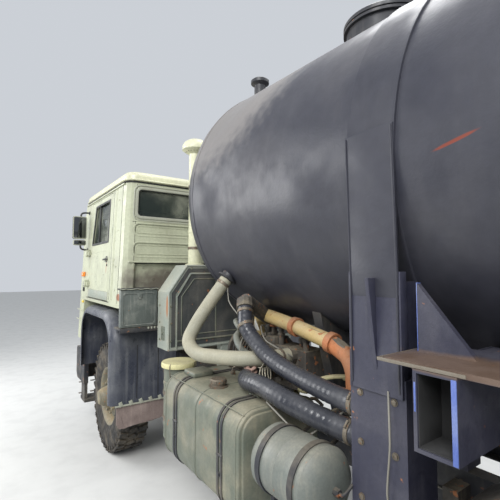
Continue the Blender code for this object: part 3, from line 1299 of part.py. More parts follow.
def make_mid_cradle(steel):
    foot = RAIL_TOP + GAP
    front = PANEL_FRONT
    post_front = BEAM_FRONT - SADDLE_DEPTH
    base = block((-PANEL_OUTER + BRACKET_WALL, front + BRACKET_WALL, BEAM_LOW - SADDLE_DEPTH),
                 (PANEL_OUTER - BRACKET_WALL, PANEL_REAR - BRACKET_WALL, CRADLE_BASE_HIGH))
    beam = block((-BEAM_HALF, BEAM_FRONT, BEAM_LOW), (BEAM_HALF, BEAM_REAR, BEAM_HIGH))
    tie = block((-POST_OUTER, PANEL_REAR - OVERRUN, BEAM_LOW - SADDLE_DEPTH * 0.8),
                (POST_OUTER, BEAM_FRONT + OVERRUN, CRADLE_BASE_HIGH - GUARD_WALL))
    sides = []
    sides.append(block((POST_INNER, front + BRACKET_WALL * 2, foot), (POST_OUTER, PANEL_REAR - BRACKET_WALL * 2,
                                                                     BEAM_LOW - OVERRUN / 4)))
    sides.append(block((POST_INNER, post_front + SADDLE_DEPTH, foot), (POST_OUTER, BEAM_REAR - BRACKET_WALL,
                                                                      BEAM_LOW + OVERRUN)))
    sides.append(block((PANEL_INNER, front, PANEL_LOW), (PANEL_OUTER, PANEL_REAR, PANEL_TOP)))
    wall_outer = BRACKET_HALF + BRACKET_WALL
    sides.append(block((BRACKET_HALF - BRACKET_WALL / 2, BAND_FRONT, BRACKET_BOTTOM),
                       (wall_outer, BAND_FRONT + BAND_WIDTH, BRACKET_TOP)))
    for share in BRACKET_RIB_SHARES:
        middle = BAND_FRONT + BAND_WIDTH * share
        sides.append(block((PANEL_INNER + BRACKET_WALL, middle - BRACKET_WALL / 2, BRACKET_BOTTOM - OVERRUN),
                           (BRACKET_HALF, middle + BRACKET_WALL / 2, BRACKET_RIB_TOP)))
    plate = block((PANEL_INNER, GUSSET_FRONT - BRACKET_WALL, BEAM_HIGH - BEAM_PLATE / 2),
                  (BEAM_HALF - BRACKET_WALL, BEAM_PLATE_REAR, BEAM_HIGH + BEAM_PLATE))
    gusset = extruded(((GUSSET_FRONT, BEAM_HIGH), (GUSSET_REAR, BEAM_HIGH), (GUSSET_FRONT, BRACKET_RIB_TOP)), "X",
                      PANEL_OUTER - BRACKET_WALL, PANEL_OUTER)
    sides += [plate, gusset]
    pocket = block((BEAM_HALF - BEAM_POCKET, BEAM_FRONT + BEAM_WALL, BEAM_LOW + BEAM_WALL),
                   (BEAM_HALF + OVERRUN, BEAM_REAR - BEAM_WALL, BEAM_HIGH - BEAM_WALL))
    made = piece("mid_cradle", steel, [beam])
    for shape in both_sides([pocket]):
        boolean(made, [shape], "DIFFERENCE")
    for shape in (tie, base, *both_sides(sides)):
        boolean(made, [shape], "UNION")
    boolean(made, [tank_body(BAND_HEIGHT + GAP * 2)], "DIFFERENCE")


def make_rear_cradle(steel):
    rear = REAR_CRADLE_STATION + REAR_CRADLE_DEPTH
    outline = ((-SADDLE_FOOT_HALF, RAIL_TOP + GAP), (SADDLE_FOOT_HALF, RAIL_TOP + GAP), (PANEL_OUTER, SADDLE_TOP),
               (-PANEL_OUTER, SADDLE_TOP))
    seated("rear_cradle", steel, [extruded(outline, "Y", REAR_CRADLE_STATION, rear)])


def make_rear_guard(name, side, steel):
    axle = FRONT_AXLE + WHEELBASE
    points = []
    for radius in (REAR_GUARD_RADIUS, REAR_GUARD_RADIUS + REAR_GUARD_WALL):
        arc = []
        for step in range(REAR_GUARD_STEPS + 1):
            share = step / REAR_GUARD_STEPS
            angle = math.radians(REAR_GUARD_START + (REAR_GUARD_STOP - REAR_GUARD_START) * share)
            arc.append((axle - radius * math.cos(angle), TYRE_RADIUS + radius * math.sin(angle)))
        points += arc if radius == REAR_GUARD_RADIUS else arc[::-1]
    arch = extruded(points, "X", REAR_GUARD_INNER, REAR_GUARD_OUTER)
    top = TYRE_RADIUS + REAR_GUARD_RADIUS
    arm = block((FRAME_HALF + GAP, axle + SHROUD_LEG, RAIL_TOP - OVERRUN),
                (FRAME_HALF + REAR_GUARD_WALL * 2, axle + SHROUD_LEG + ARM_WIDTH, top))
    shelf = block((FRAME_HALF + GAP, axle + SHROUD_LEG, top - REAR_GUARD_WALL * 2),
                  (REAR_GUARD_OUTER - OVERRUN, axle + SHROUD_LEG + ARM_WIDTH, top + REAR_GUARD_WALL * 1.5))
    piece("rear_mudguard_" + name, steel, on_side([arch, arm, shelf], side))


def make_ladder(steel):
    foot = RAIL_TOP - RAIL_WALL
    rails = []
    for side in (-1, 1):
        rails.append(rod(at(LADDER_HALF * side, LADDER_STATION, foot),
                         at(LADDER_HALF * side, LADDER_STATION, LADDER_TOP), LADDER_TUBE, 8))
    shapes = [rails[0], rails[1]]
    for count in range(LADDER_RUNGS):
        height = foot + (LADDER_TOP - foot) * (count + 0.7) / LADDER_RUNGS
        reach = LADDER_HALF + LADDER_TUBE / 3
        shapes.append(rod(at(-reach, LADDER_STATION, height), at(reach, LADDER_STATION, height),
                          LADDER_TUBE * 0.8, 8, LADDER_TWIST))
    for height in LADDER_STANDOFFS:
        for side in (-1, 1):
            shapes.append(rod(at(LADDER_HALF * side, TANK_FRONT + TANK_CYLINDER, height),
                              at(LADDER_HALF * side, LADDER_STATION + LADDER_TUBE / 3, height), LADDER_TUBE * 0.7,
                              8, LADDER_TWIST))
    made = piece("ladder", steel, [shapes[2], *shapes[:2], *shapes[3:]])
    boolean(made, [tank_body(GAP * 2)], "DIFFERENCE")


# Vacuum pump, its steel pipe and the hoses

def pump_route():
    """The steel pipe from the pump's top, back under the tank and down."""
    return [at(0.42, 3.02, 1.30), at(0.45, 3.05, 1.46), at(0.53, 3.18, 1.565), at(0.60, 3.35, 1.585),
            at(0.63, 3.70, 1.545), at(0.655, 4.00, 1.50), at(0.67, 4.13, 1.45), at(0.675, 4.18, 1.36),
            at(0.675, 4.185, 1.22)]


def upper_route():
    """The upper hose, from the valve's elbow down and back to the cradle's panel."""
    return [at(0.86, 3.44, 1.66), at(0.90, 3.50, 1.56), at(0.895, 3.60, 1.47), at(0.89, 3.75, 1.395),
            at(0.895, 3.95, 1.350), at(0.90, 4.15, 1.325), at(0.90, 4.33, 1.31),
            at(0.90, PANEL_FRONT - GAP, 1.31)]


def lower_route():
    """The lower hose, from below the riser back to the same panel."""
    return [at(0.64, 3.46, 1.24), at(0.76, 3.465, 1.24), at(0.88, 3.51, 1.24), at(0.965, 3.62, 1.25),
            at(0.985, 3.80, 1.26), at(0.985, 4.03, 1.235), at(0.925, 4.24, 1.19), at(0.90, 4.35, 1.18),
            at(0.90, PANEL_FRONT - GAP, 1.18)]


def port_at(route):
    """A short stub that ends against the first point of a hose."""
    way = (route[0] - route[1]).normalized()
    return route[0] + way * GAP, route[0] + way * PORT_LENGTH


def make_pump(iron):
    start = at(PUMP_SIDE, PUMP_FRONT, PUMP_HEIGHT)
    length = PUMP_REAR - PUMP_FRONT
    edge = PUMP_FLANGE_DEPTH
    profile = ((0, 0), (0, PUMP_FLANGE), (edge, PUMP_FLANGE), (edge, PUMP_RADIUS), (length - edge, PUMP_RADIUS),
               (length - edge, PUMP_FLANGE), (length, PUMP_FLANGE), (length, 0))
    body = turned(profile, start, Y_AXIS, 18)
    foot = block((FRAME_HALF - PUMP_FOOT_HALF, PUMP_FRONT + edge * 2, RAIL_TOP + GAP),
                 (FRAME_HALF, PUMP_REAR - edge * 2, PUMP_HEIGHT))
    pipe = bent_tube(smooth_route(pump_route(), 4), PIPE_RADIUS, 2)
    manifold = block((PUMP_SIDE, PUMP_REAR - edge, PUMP_HEIGHT - PUMP_RADIUS * 0.7),
                     (MANIFOLD_OUTER, MANIFOLD_REAR, PUMP_HEIGHT + PUMP_RADIUS))
    riser_end = riser_route()[-1]
    riser_from = riser_route()[-2]
    inward = (riser_end - riser_from).normalized()
    riser_port = rod(riser_end + inward * GAP, riser_end + inward * PORT_LENGTH * 1.6, RISER_RADIUS + PORT_WALL)
    lower_stop, lower_root = port_at(lower_route())
    lower_port = rod(lower_root + (lower_root - lower_stop) * 1.2, lower_stop, LOWER_RADIUS + PORT_WALL / 2)
    upper_stop, upper_root = port_at(upper_route())
    valve = rod(upper_root, upper_stop, UPPER_RADIUS + PORT_WALL)
    spool = rod(upper_root + Vector((PORT_WALL, PORT_WALL, 0)), at(SPOOL_SIDE, SPOOL_STATION, SPOOL_HEIGHT),
                UPPER_RADIUS)
    piece("vacuum_pump", iron, [body, foot, manifold, pipe, riser_port, lower_port, valve, spool])


def make_hoses(rubber, beige):
    hose("hose_riser", beige, smooth_route(riser_route()), RISER_RADIUS)
    hose("hose_upper", rubber, smooth_route(upper_route()), UPPER_RADIUS)
    hose("hose_lower", rubber, smooth_route(lower_route()), LOWER_RADIUS)


def main():
    for old in list(bpy.data.objects):
        bpy.data.objects.remove(old)
    steel = material("chassis_steel", (0.05, 0.05, 0.06), 0.6, 0.3)
    iron = material("cast_iron", (0.09, 0.08, 0.07), 0.7, 0.4)
    rubber = material("rubber", (0.03, 0.03, 0.03), 0.7)
    beige = material("beige_hose", (0.45, 0.42, 0.33), 0.7)
    plastic = material("guard_plastic", (0.05, 0.06, 0.07), 0.5)
    cream = material("cab_paint", (0.62, 0.63, 0.48), 0.5)
    olive = material("chassis_tanks", (0.20, 0.22, 0.18), 0.6)
    black = material("tank_paint", (0.035, 0.037, 0.045), 0.5)
    glass = material("glass", (0.10, 0.12, 0.11), 0.1)
    cloth = material("seat_cloth", (0.12, 0.11, 0.10), 0.9)
    make_rails(steel)
    make_members(steel)
    make_front_bumper(steel)
    make_rear_bumper(steel)
    make_engine(iron)
    make_front_axle(iron)
    make_rear_axle(iron)
    tilt = pivot_empty("cab_pivot", at(0, TILT_STATION, TILT_HEIGHT))
    make_cab_shell(cream, tilt)
    make_cab_roof(cream, tilt)
    make_cab_glass(glass, tilt)
    make_dashboard(plastic, tilt)
    for name, side in (("left", 1), ("right", -1)):
        make_front_corner(name, side, iron, rubber)
        make_twin_wheel("twin_wheel_" + name, side, rubber)
        make_door(name, side, cream, glass, tilt)
        make_seat(name, side, cloth, tilt)
        make_mirror(name, side, plastic, tilt)
        make_mudguard(name, side, plastic)
        make_rear_guard(name, side, steel)
    make_shroud(steel)
    make_intake(cream)
    make_fuel_tank(olive)
    make_receiver(olive)
    make_canister(olive)
    make_battery_box(steel)
    make_tank(black)
    make_lid(black)
    make_front_saddle(steel)
    make_mid_cradle(steel)
    make_rear_cradle(steel)
    make_ladder(steel)
    make_pump(iron)
    make_hoses(rubber, beige)


main()
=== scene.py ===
"""Looks of the tanker truck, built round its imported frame.

Metres, in the frame's axes: the truck faces -Y, +X is its left side, and Z is up.
"""
import math

import bmesh
import bpy
from mathutils import Matrix, Vector, noise


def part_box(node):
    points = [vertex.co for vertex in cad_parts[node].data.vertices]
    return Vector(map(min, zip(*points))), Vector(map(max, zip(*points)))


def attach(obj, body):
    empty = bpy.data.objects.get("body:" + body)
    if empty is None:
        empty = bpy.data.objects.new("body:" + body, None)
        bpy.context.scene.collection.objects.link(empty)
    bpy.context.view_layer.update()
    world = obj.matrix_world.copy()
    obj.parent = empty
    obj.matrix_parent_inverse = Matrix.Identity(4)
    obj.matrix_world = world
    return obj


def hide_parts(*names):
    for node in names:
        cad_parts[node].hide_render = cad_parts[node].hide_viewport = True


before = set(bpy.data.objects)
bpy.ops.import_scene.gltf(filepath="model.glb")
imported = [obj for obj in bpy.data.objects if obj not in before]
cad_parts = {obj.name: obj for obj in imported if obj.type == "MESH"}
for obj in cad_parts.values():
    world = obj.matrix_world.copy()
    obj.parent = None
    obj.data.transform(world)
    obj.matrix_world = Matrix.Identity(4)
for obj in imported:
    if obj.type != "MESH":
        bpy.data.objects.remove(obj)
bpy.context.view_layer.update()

NOSE = -3.6
X_AXIS = Vector((1, 0, 0))
Y_AXIS = Vector((0, 1, 0))
Z_AXIS = Vector((0, 0, 1))


# Nodes and materials

class Graph:
    """A material's node tree, with short calls for the nodes that the finishes share."""

    def __init__(self, name):
        self.material = bpy.data.materials.new(name)
        self.material.use_nodes = True
        self.tree = self.material.node_tree
        self.shader = self.tree.nodes["Principled BSDF"]
        self.place = self.add("ShaderNodeTexCoord").outputs["Object"]
        self.facing = self.tree.nodes["Texture Coordinate"].outputs["Normal"]

    def add(self, kind, **values):
        node = self.tree.nodes.new(kind)
        for name, value in values.items():
            setattr(node, name, value)
        return node

    def set(self, socket, value):
        if isinstance(value, bpy.types.NodeSocket):
            self.tree.links.new(value, socket)
        else:
            socket.default_value = value

    def scaled(self, scale):
        node = self.add("ShaderNodeMapping")
        self.set(node.inputs["Vector"], self.place)
        self.set(node.inputs["Scale"], scale)
        return node.outputs["Vector"]

    def noise(self, scale, detail=5, stretch=None, distortion=0.0):
        node = self.add("ShaderNodeTexNoise")
        self.set(node.inputs["Vector"], self.scaled(stretch) if stretch else self.place)
        self.set(node.inputs["Scale"], scale)
        self.set(node.inputs["Detail"], detail)
        self.set(node.inputs["Distortion"], distortion)
        return node.outputs["Fac"]

    def ramp(self, value, low, high, bottom=0.0, top=1.0):
        node = self.add("ShaderNodeMapRange", interpolation_type="SMOOTHSTEP")
        for name, number in (("From Min", low), ("From Max", high), ("To Min", bottom), ("To Max", top)):
            self.set(node.inputs[name], number)
        self.set(node.inputs["Value"], value)
        return node.outputs["Result"]

    def maths(self, operation, first, second=0.5):
        node = self.add("ShaderNodeMath", operation=operation, use_clamp=operation == "ADD")
        self.set(node.inputs[0], first)
        self.set(node.inputs[1], second)
        return node.outputs[0]

    def mix(self, share, first, second):
        node = self.add("ShaderNodeMix", data_type="RGBA")
        self.set(node.inputs["Factor"], share)
        self.set(node.inputs["A"], first if isinstance(first, bpy.types.NodeSocket) else (*first, 1))
        self.set(node.inputs["B"], second if isinstance(second, bpy.types.NodeSocket) else (*second, 1))
        return node.outputs["Result"]

    def split(self, vector):
        node = self.add("ShaderNodeSeparateXYZ")
        self.set(node.inputs[0], vector)
        return node.outputs

    def spot(self, centre, size, turn):
        """A ragged patch: 1 at its centre, 0 outside an ellipsoid of these half sizes."""
        move = self.add("ShaderNodeMapping", vector_type="TEXTURE")
        self.set(move.inputs["Vector"], self.place)
        self.set(move.inputs["Location"], centre)
        self.set(move.inputs["Rotation"], (turn, 0, 0))
        self.set(move.inputs["Scale"], size)
        length = self.add("ShaderNodeVectorMath", operation="LENGTH")
        self.set(length.inputs[0], move.outputs["Vector"])
        edge = self.maths("MULTIPLY", self.noise(14), 0.5)
        return self.ramp(self.maths("SUBTRACT", length.outputs["Value"], edge), 0.35, 0.9, 1.0, 0.0)

    def bump(self, height, strength, distance=0.004):
        node = self.add("ShaderNodeBump")
        self.set(node.inputs["Height"], height)
        self.set(node.inputs["Strength"], strength)
        self.set(node.inputs["Distance"], distance)
        self.set(self.shader.inputs["Normal"], node.outputs["Normal"])

    def finish(self, colour, rough, metal=0.0):
        self.set(self.shader.inputs["Base Color"], colour)
        self.set(self.shader.inputs["Roughness"], rough)
        self.set(self.shader.inputs["Metallic"], metal)
        return self.material


RUST = (0.24, 0.09, 0.035)
BRIGHT_RUST = (0.33, 0.13, 0.05)


def worn(name, base, dust, dusty=0.5, rusty=0.0, rough=0.55, scale=2.2, grain=0.15, metal=0.0, streaks=0.5,
         patches=()):
    """Paint with dust in drifts and streaks, rust in ragged spots, and uneven gloss."""
    graph = Graph(name)
    drift = graph.ramp(graph.noise(scale, 6, distortion=0.4), 0.42, 0.72)
    runs = graph.ramp(graph.noise(scale * 2, 4, stretch=(4, 4, 0.35)), 0.48, 0.78, 0.0, streaks)
    settled = graph.ramp(graph.split(graph.facing)["Z"], 0.25, 0.95, 0.0, 0.75)
    cover = graph.maths("ADD", graph.maths("MULTIPLY", drift, dusty), graph.maths("MULTIPLY", runs, dusty))
    cover = graph.maths("ADD", cover, graph.maths("MULTIPLY", settled, dusty))
    colour = graph.mix(cover, base, dust)
    shade = graph.ramp(graph.noise(scale * 18, 4), 0.3, 0.7, 0.0, 0.22)
    colour = graph.mix(shade, colour, tuple(part * 0.45 for part in base))
    for centre, size, turn, paint in patches:
        colour = graph.mix(graph.spot(centre, size, turn), colour, paint)
    height = graph.noise(scale * 60, 3)
    if rusty:
        eaten = graph.ramp(graph.noise(scale * 5, 9), 0.72 - rusty * 0.35, 0.78 - rusty * 0.3)
        tone = graph.mix(graph.ramp(graph.noise(scale * 40), 0.35, 0.65), RUST, BRIGHT_RUST)
        colour = graph.mix(eaten, colour, tone)
        height = graph.maths("ADD", graph.maths("MULTIPLY", height, 0.5), graph.maths("MULTIPLY", eaten, 0.4))
    gloss = graph.ramp(graph.noise(scale * 3, 5), 0.3, 0.7, rough - 0.12, min(rough + 0.2, 1.0))
    graph.bump(height, grain)
    return graph.finish(colour, gloss, metal)


def plain(name, colour, rough, metal=0.0, grain=0.1, glow=0.0):
    """A moulded or glazed finish with a little dirt."""
    graph = Graph(name)
    dirt = graph.ramp(graph.noise(3.75, 5), 0.4, 0.75, 0.0, 0.35)
    colour = graph.mix(dirt, colour, tuple(part * 0.6 + 0.10 for part in colour))
    graph.bump(graph.noise(240, 3), grain, 0.002)
    if glow:
        graph.set(graph.shader.inputs["Coat Weight"], glow)
    gloss = graph.ramp(graph.noise(7.5), 0.3, 0.7, rough * 0.8, min(rough * 1.25, 1.0))
    return graph.finish(colour, gloss, metal)


def pane(name, tint, dirt_tone, alpha):
    """Glass that is dusty towards its edges and in drifts."""
    graph = Graph(name)
    drift = graph.ramp(graph.noise(3.5, 6), 0.38, 0.72)
    colour = graph.mix(drift, tint, dirt_tone)
    graph.set(graph.shader.inputs["Alpha"],
              graph.ramp(graph.noise(3.5, 6), 0.38, 0.72, alpha, min(alpha + 0.22, 1.0)))
    graph.set(graph.shader.inputs["IOR"], 1.45)
    return graph.finish(colour, graph.ramp(drift, 0.0, 1.0, 0.06, 0.35))


tank_black = worn("tank_paint", (0.026, 0.027, 0.038), (0.075, 0.073, 0.080), 0.40, 0.0, 0.46, 1.1, 0.16,
                  patches=(((0.997, 1.283, 2.343), (0.10, 0.080, 0.007), 0.21, (0.15, 0.026, 0.012)),
                           ((0.6, -0.5, 3.05), (0.9, 0.8, 0.5), 0.2, (0.16, 0.15, 0.145))))
tank_steel = worn("tank_fittings", (0.022, 0.023, 0.028), (0.12, 0.11, 0.10), 0.6, 0.12, 0.5, 3, 0.3)
steel = worn("chassis_steel", (0.020, 0.022, 0.028), (0.13, 0.115, 0.09), 0.7, 0.20, 0.6, 4, 0.35)
cradle_blue = worn("cradle_paint", (0.030, 0.031, 0.052), (0.080, 0.078, 0.095), 0.5, 0.05, 0.5, 4, 0.35,
                   patches=(((1.1, 1.4, 1.61), (0.22, 0.4, 0.02), 0.0, (0.11, 0.072, 0.052)),))
iron = worn("cast_iron", (0.055, 0.050, 0.045), (0.20, 0.17, 0.12), 0.7, 0.30, 0.7, 6, 0.5)
cream = worn("cab_paint", (0.44, 0.46, 0.33), (0.30, 0.30, 0.22), 0.6, 0.02, 0.38, 2.4, 0.06,
             patches=(((1.24, -2.165, 1.95), (0.05, 0.012, 0.07), 0.0, BRIGHT_RUST),
                      ((1.25, -1.68, 1.66), (0.05, 0.07, 0.035), 0.0, RUST),
                      ((0.0, -1.60, 1.80), (1.6, 0.14, 0.20), 0.0, (0.13, 0.115, 0.09))))
roof_cream = worn("roof_paint", (0.60, 0.60, 0.42), (0.42, 0.41, 0.30), 0.5, 0.03, 0.4, 2.4, 0.08)
door_grey = worn("door_strip", (0.26, 0.29, 0.24), (0.32, 0.31, 0.25), 0.6, 0.08, 0.5, 4, 0.1)
shroud_green = worn("shroud_paint", (0.27, 0.30, 0.26), (0.36, 0.35, 0.28), 0.6, 0.10, 0.55, 4, 0.15,
                    patches=(((0.97, -1.19, 1.60), (0.02, 0.022, 0.10), 0.0, BRIGHT_RUST),))
# Dark colour as painted shade for the shaded engine bay inside the shroud's open back.
shroud_shade_sheet = worn("shroud_opening_painted_shade", (0.045, 0.05, 0.05), (0.15, 0.14, 0.12), 0.5, 0.1, 0.7, 4, 0.15)
box_green = worn("chassis_tank_paint", (0.12, 0.135, 0.105), (0.27, 0.25, 0.18), 0.7, 0.15, 0.55, 4, 0.2)
canister_cap = worn("canister_cap", (0.62, 0.58, 0.30), (0.40, 0.36, 0.22), 0.6, 0.08, 0.5, 6, 0.15)
# Pale yellow paint, and also painted highlight for the lit top flange and brackets of the frame.
yellow_paint_and_highlight = worn("pale_yellow_and_painted_highlight", (0.52, 0.48, 0.26), (0.34, 0.29, 0.18), 0.7, 0.2, 0.6, 6, 0.3)
guard_black = worn("guard_plastic", (0.040, 0.045, 0.062), (0.17, 0.175, 0.18), 0.50, 0.0, 0.34, 3, 0.08,
                   streaks=0.9)
flap_finish = worn("flap_rubber", (0.19, 0.145, 0.13), (0.34, 0.27, 0.24), 0.7, 0.0, 0.75, 5, 0.2)
tyre_rubber = worn("tyre_rubber", (0.020, 0.019, 0.018), (0.17, 0.14, 0.10), 0.55, 0.0, 0.8, 7, 0.35)
rim_paint = worn("wheel_paint", (0.16, 0.15, 0.11), (0.30, 0.24, 0.14), 0.8, 0.25, 0.6, 8, 0.3)
hose_black = worn("hose_rubber", (0.022, 0.024, 0.032), (0.10, 0.10, 0.105), 0.40, 0.0, 0.30, 5, 0.08)
hose_beige = worn("beige_hose_rubber", (0.30, 0.29, 0.22), (0.40, 0.37, 0.27), 0.6, 0.0, 0.6, 7, 0.15)
pipe_yellow = worn("pipe_yellow", (0.44, 0.32, 0.13), (0.42, 0.33, 0.18), 0.7, 0.25, 0.55, 6, 0.25)
pipe_rust = worn("pipe_rust", (0.42, 0.15, 0.055), (0.30, 0.16, 0.09), 0.6, 0.45, 0.7, 6, 0.4)
bolt_steel = worn("bolt_steel", (0.16, 0.14, 0.11), (0.24, 0.20, 0.15), 0.6, 0.35, 0.5, 20, 0.3, metal=0.6)
bright_steel = plain("bright_steel", (0.45, 0.45, 0.44), 0.35, 1.0)
rope = worn("rope_fibre", (0.50, 0.47, 0.38), (0.34, 0.29, 0.20), 0.6, 0.0, 0.9, 40, 0.5)
pink_rag = worn("faded_cloth", (0.42, 0.27, 0.22), (0.30, 0.22, 0.17), 0.6, 0.0, 0.9, 30, 0.5)
gasket = plain("gasket_rubber", (0.022, 0.023, 0.024), 0.6)
gasket_lip = worn("gasket_lip", (0.34, 0.35, 0.28), (0.26, 0.25, 0.20), 0.5, 0.0, 0.5, 8, 0.1)
black_plastic = plain("black_plastic", (0.022, 0.022, 0.023), 0.5)
interior = plain("interior_plastic", (0.055, 0.055, 0.05), 0.65, grain=0.3)
orange_lens = plain("orange_lens", (0.85, 0.24, 0.02), 0.15, glow=0.6)
red_lens = plain("red_lens", (0.45, 0.012, 0.012), 0.15, glow=0.6)
yellow_lens = plain("yellow_lens", (0.80, 0.55, 0.06), 0.2, glow=0.5)
clear_lens = pane("clear_lens", (0.85, 0.87, 0.85), (0.6, 0.58, 0.5), 0.35)
glass = pane("cab_glass", (0.03, 0.04, 0.036), (0.22, 0.23, 0.18), 0.62)
mirror_face = plain("mirror_face", (0.10, 0.105, 0.11), 0.07, 1.0, grain=0.0)
plate_white = plain("plate_white", (0.62, 0.62, 0.58), 0.45)
wire_grey = plain("wire_sheath", (0.20, 0.19, 0.16), 0.6)
canister_grey = worn("receiver_paint", (0.14, 0.155, 0.14), (0.27, 0.26, 0.21), 0.6, 0.08, 0.5, 5, 0.15)
locker_grey = worn("locker_paint", (0.095, 0.110, 0.100), (0.24, 0.25, 0.22), 0.7, 0.05, 0.55, 6, 0.15,
                   streaks=0.8)
worn_lip = worn("plate_lip_rust", (0.16, 0.14, 0.11), (0.10, 0.06, 0.035), 0.6, 0.10, 0.5, 8, 0.1)
# Saturated blue for painted highlights: the sky's glint along lit edges.
painted_edge_highlight = worn("painted_highlight_blue_edge", (0.075, 0.12, 0.36), (0.26, 0.30, 0.42), 0.4, 0.05, 0.45, 8, 0.2)
# Near-black for dark joints, seams and gaps, and for painted shade inside the open box beam.
gap_and_shade_black = plain("gap_black_and_painted_shade", (0.008, 0.008, 0.008), 0.9)


def cloth_finish():
    """Woven seat cloth: crossing threads on object coordinates, darker where it is worn."""
    graph = Graph("seat_cloth")
    parts = graph.split(graph.place)
    across = graph.maths("SINE",
                         graph.maths("MULTIPLY", graph.maths("SUBTRACT", parts["X"], parts["Z"]), 1400))
    along = graph.maths("SINE",
                        graph.maths("MULTIPLY", graph.maths("SUBTRACT", parts["Y"], parts["Z"]), 1400))
    weave = graph.maths("MULTIPLY", across, along)
    colour = graph.mix(graph.ramp(weave, -0.6, 0.6), (0.085, 0.075, 0.065), (0.16, 0.14, 0.12))
    colour = graph.mix(graph.ramp(graph.noise(5, 6), 0.45, 0.7, 0, 0.6), colour, (0.20, 0.17, 0.13))
    graph.bump(weave, 0.25, 0.001)
    graph.set(graph.shader.inputs["Sheen Weight"], 0.3)
    return graph.finish(colour, 0.9)


seat_cloth = cloth_finish()


# Shapes

def at(side, station, height):
    return Vector((side, station + NOSE, height))


def round_edges(shape, edges, offset, segments):
    bmesh.ops.bevel(shape, geom=edges, offset=offset, affect="EDGES", segments=segments, profile=0.5,
                    material=-1)


def uprights(shape):
    """The edges that run mostly up and down."""
    return [edge for edge in shape.edges if abs(edge.verts[0].co.z - edge.verts[1].co.z) > 0.01]


def solid(low, high, bevel=0.0, segments=2):
    """A block between two corners, with rounded edges."""
    shape = bmesh.new()
    low, high = Vector(low), Vector(high)
    size = high - low
    bmesh.ops.create_cube(shape, size=1, matrix=Matrix.LocRotScale((low + high) / 2, None, size))
    if bevel:
        round_edges(shape, shape.edges[:], bevel, segments)
    return shape


def slab(low, high, bevel=0.0, segments=2):
    """The same between two corners given by side, station and height."""
    return solid(at(*low), at(*high), bevel, segments)


def prism(outline, axis, start, stop, bevel=0.0, segments=2):
    """An outline in world metres, drawn across an axis and pushed along it from start to stop."""
    shape = bmesh.new()
    verts = []
    for first, second in outline:
        place = {"X": (start, first, second), "Y": (first, start, second), "Z": (first, second, start)}[axis]
        verts.append(shape.verts.new(place))
    face = shape.faces.new(verts)
    way = {"X": X_AXIS, "Y": Y_AXIS, "Z": Z_AXIS}[axis] * (stop - start)
    made = bmesh.ops.extrude_face_region(shape, geom=[face])
    moved = [item for item in made["geom"] if isinstance(item, bmesh.types.BMVert)]
    bmesh.ops.translate(shape, verts=moved, vec=way)
    bmesh.ops.recalc_face_normals(shape, faces=shape.faces)
    if bevel:
        caps = [face for face in shape.faces if abs(face.normal.dot(way.normalized())) > 0.9]
        rim = list({edge for face in caps for edge in face.edges})
        round_edges(shape, rim, bevel, segments)
    return shape


def rounded(low, high, radius, steps=5):
    """A rectangle's outline with round corners, as pairs."""
    points = []
    corners = ((high[0] - radius, high[1] - radius), (low[0] + radius, high[1] - radius),
               (low[0] + radius, low[1] + radius), (high[0] - radius, low[1] + radius))
    for quarter, (first, second) in enumerate(corners):
        for step in range(steps + 1):
            angle = math.pi / 2 * (quarter + step / steps)
            points.append((first + radius * math.cos(angle), second + radius * math.sin(angle)))
    return points


def around(count, radius=1.0, shift=0.0):
    """Evenly spaced places on a circle, as pairs."""
    turns = [math.tau * (step + shift) / count for step in range(count)]
    return [(radius * math.cos(turn), radius * math.sin(turn)) for turn in turns]


def lathe(profile, start, along, steps=48):
    """Spins a profile of (distance, radius) points about an axis."""
    shape = bmesh.new()
    along = Vector(along).normalized()
    out = along.orthogonal().normalized()
    start = Vector(start)
    verts = [shape.verts.new(start + along * reach + out * max(radius, 0.0)) for reach, radius in profile]
    edges = [shape.edges.new(pair) for pair in zip(verts, verts[1:])]
    bmesh.ops.spin(shape, geom=verts + edges, cent=start, axis=along, angle=math.tau, steps=steps,
                   use_merge=True, use_duplicate=False)
    bmesh.ops.remove_doubles(shape, verts=shape.verts, dist=0.00002)
    bmesh.ops.recalc_face_normals(shape, faces=shape.faces)
    return shape


def rod(start, stop, radius, steps=20, bevel=0.0):
    start, stop = Vector(start), Vector(stop)
    reach = (stop - start).length
    return lathe(((0, 0), (0, radius - bevel), (bevel, radius), (reach - bevel, radius),
                  (reach, radius - bevel), (reach, 0)), start, stop - start, steps)


def smooth_route(places, steps=8):
    """A smooth curve through the route's points. Its first and last stretches are straight."""
    places = [Vector(place) for place in places]
    points = [places[0]]
    for before, here, there, after in zip(places, places[1:], places[2:], places[3:]):
        for step in range(steps):
            t = step / steps
            point = here * 2 + (there - before) * t
            point += (before * 2 - here * 5 + there * 4 - after) * t ** 2
            point += (here * 3 - before - there * 3 + after) * t ** 3
            points.append(point / 2)
    points += places[-2:]
    return points


def even(points, pitch):
    """The same path in equal short stretches."""
    made = [points[0]]
    left = pitch
    for start, stop in zip(points, points[1:]):
        reach = (stop - start).length
        gone = 0.0
        while reach - gone >= left:
            gone += left
            made.append(start.lerp(stop, gone / reach))
            left = pitch
        left -= reach - gone
    if (made[-1] - points[-1]).length > pitch / 4:
        made.append(points[-1])
    return made


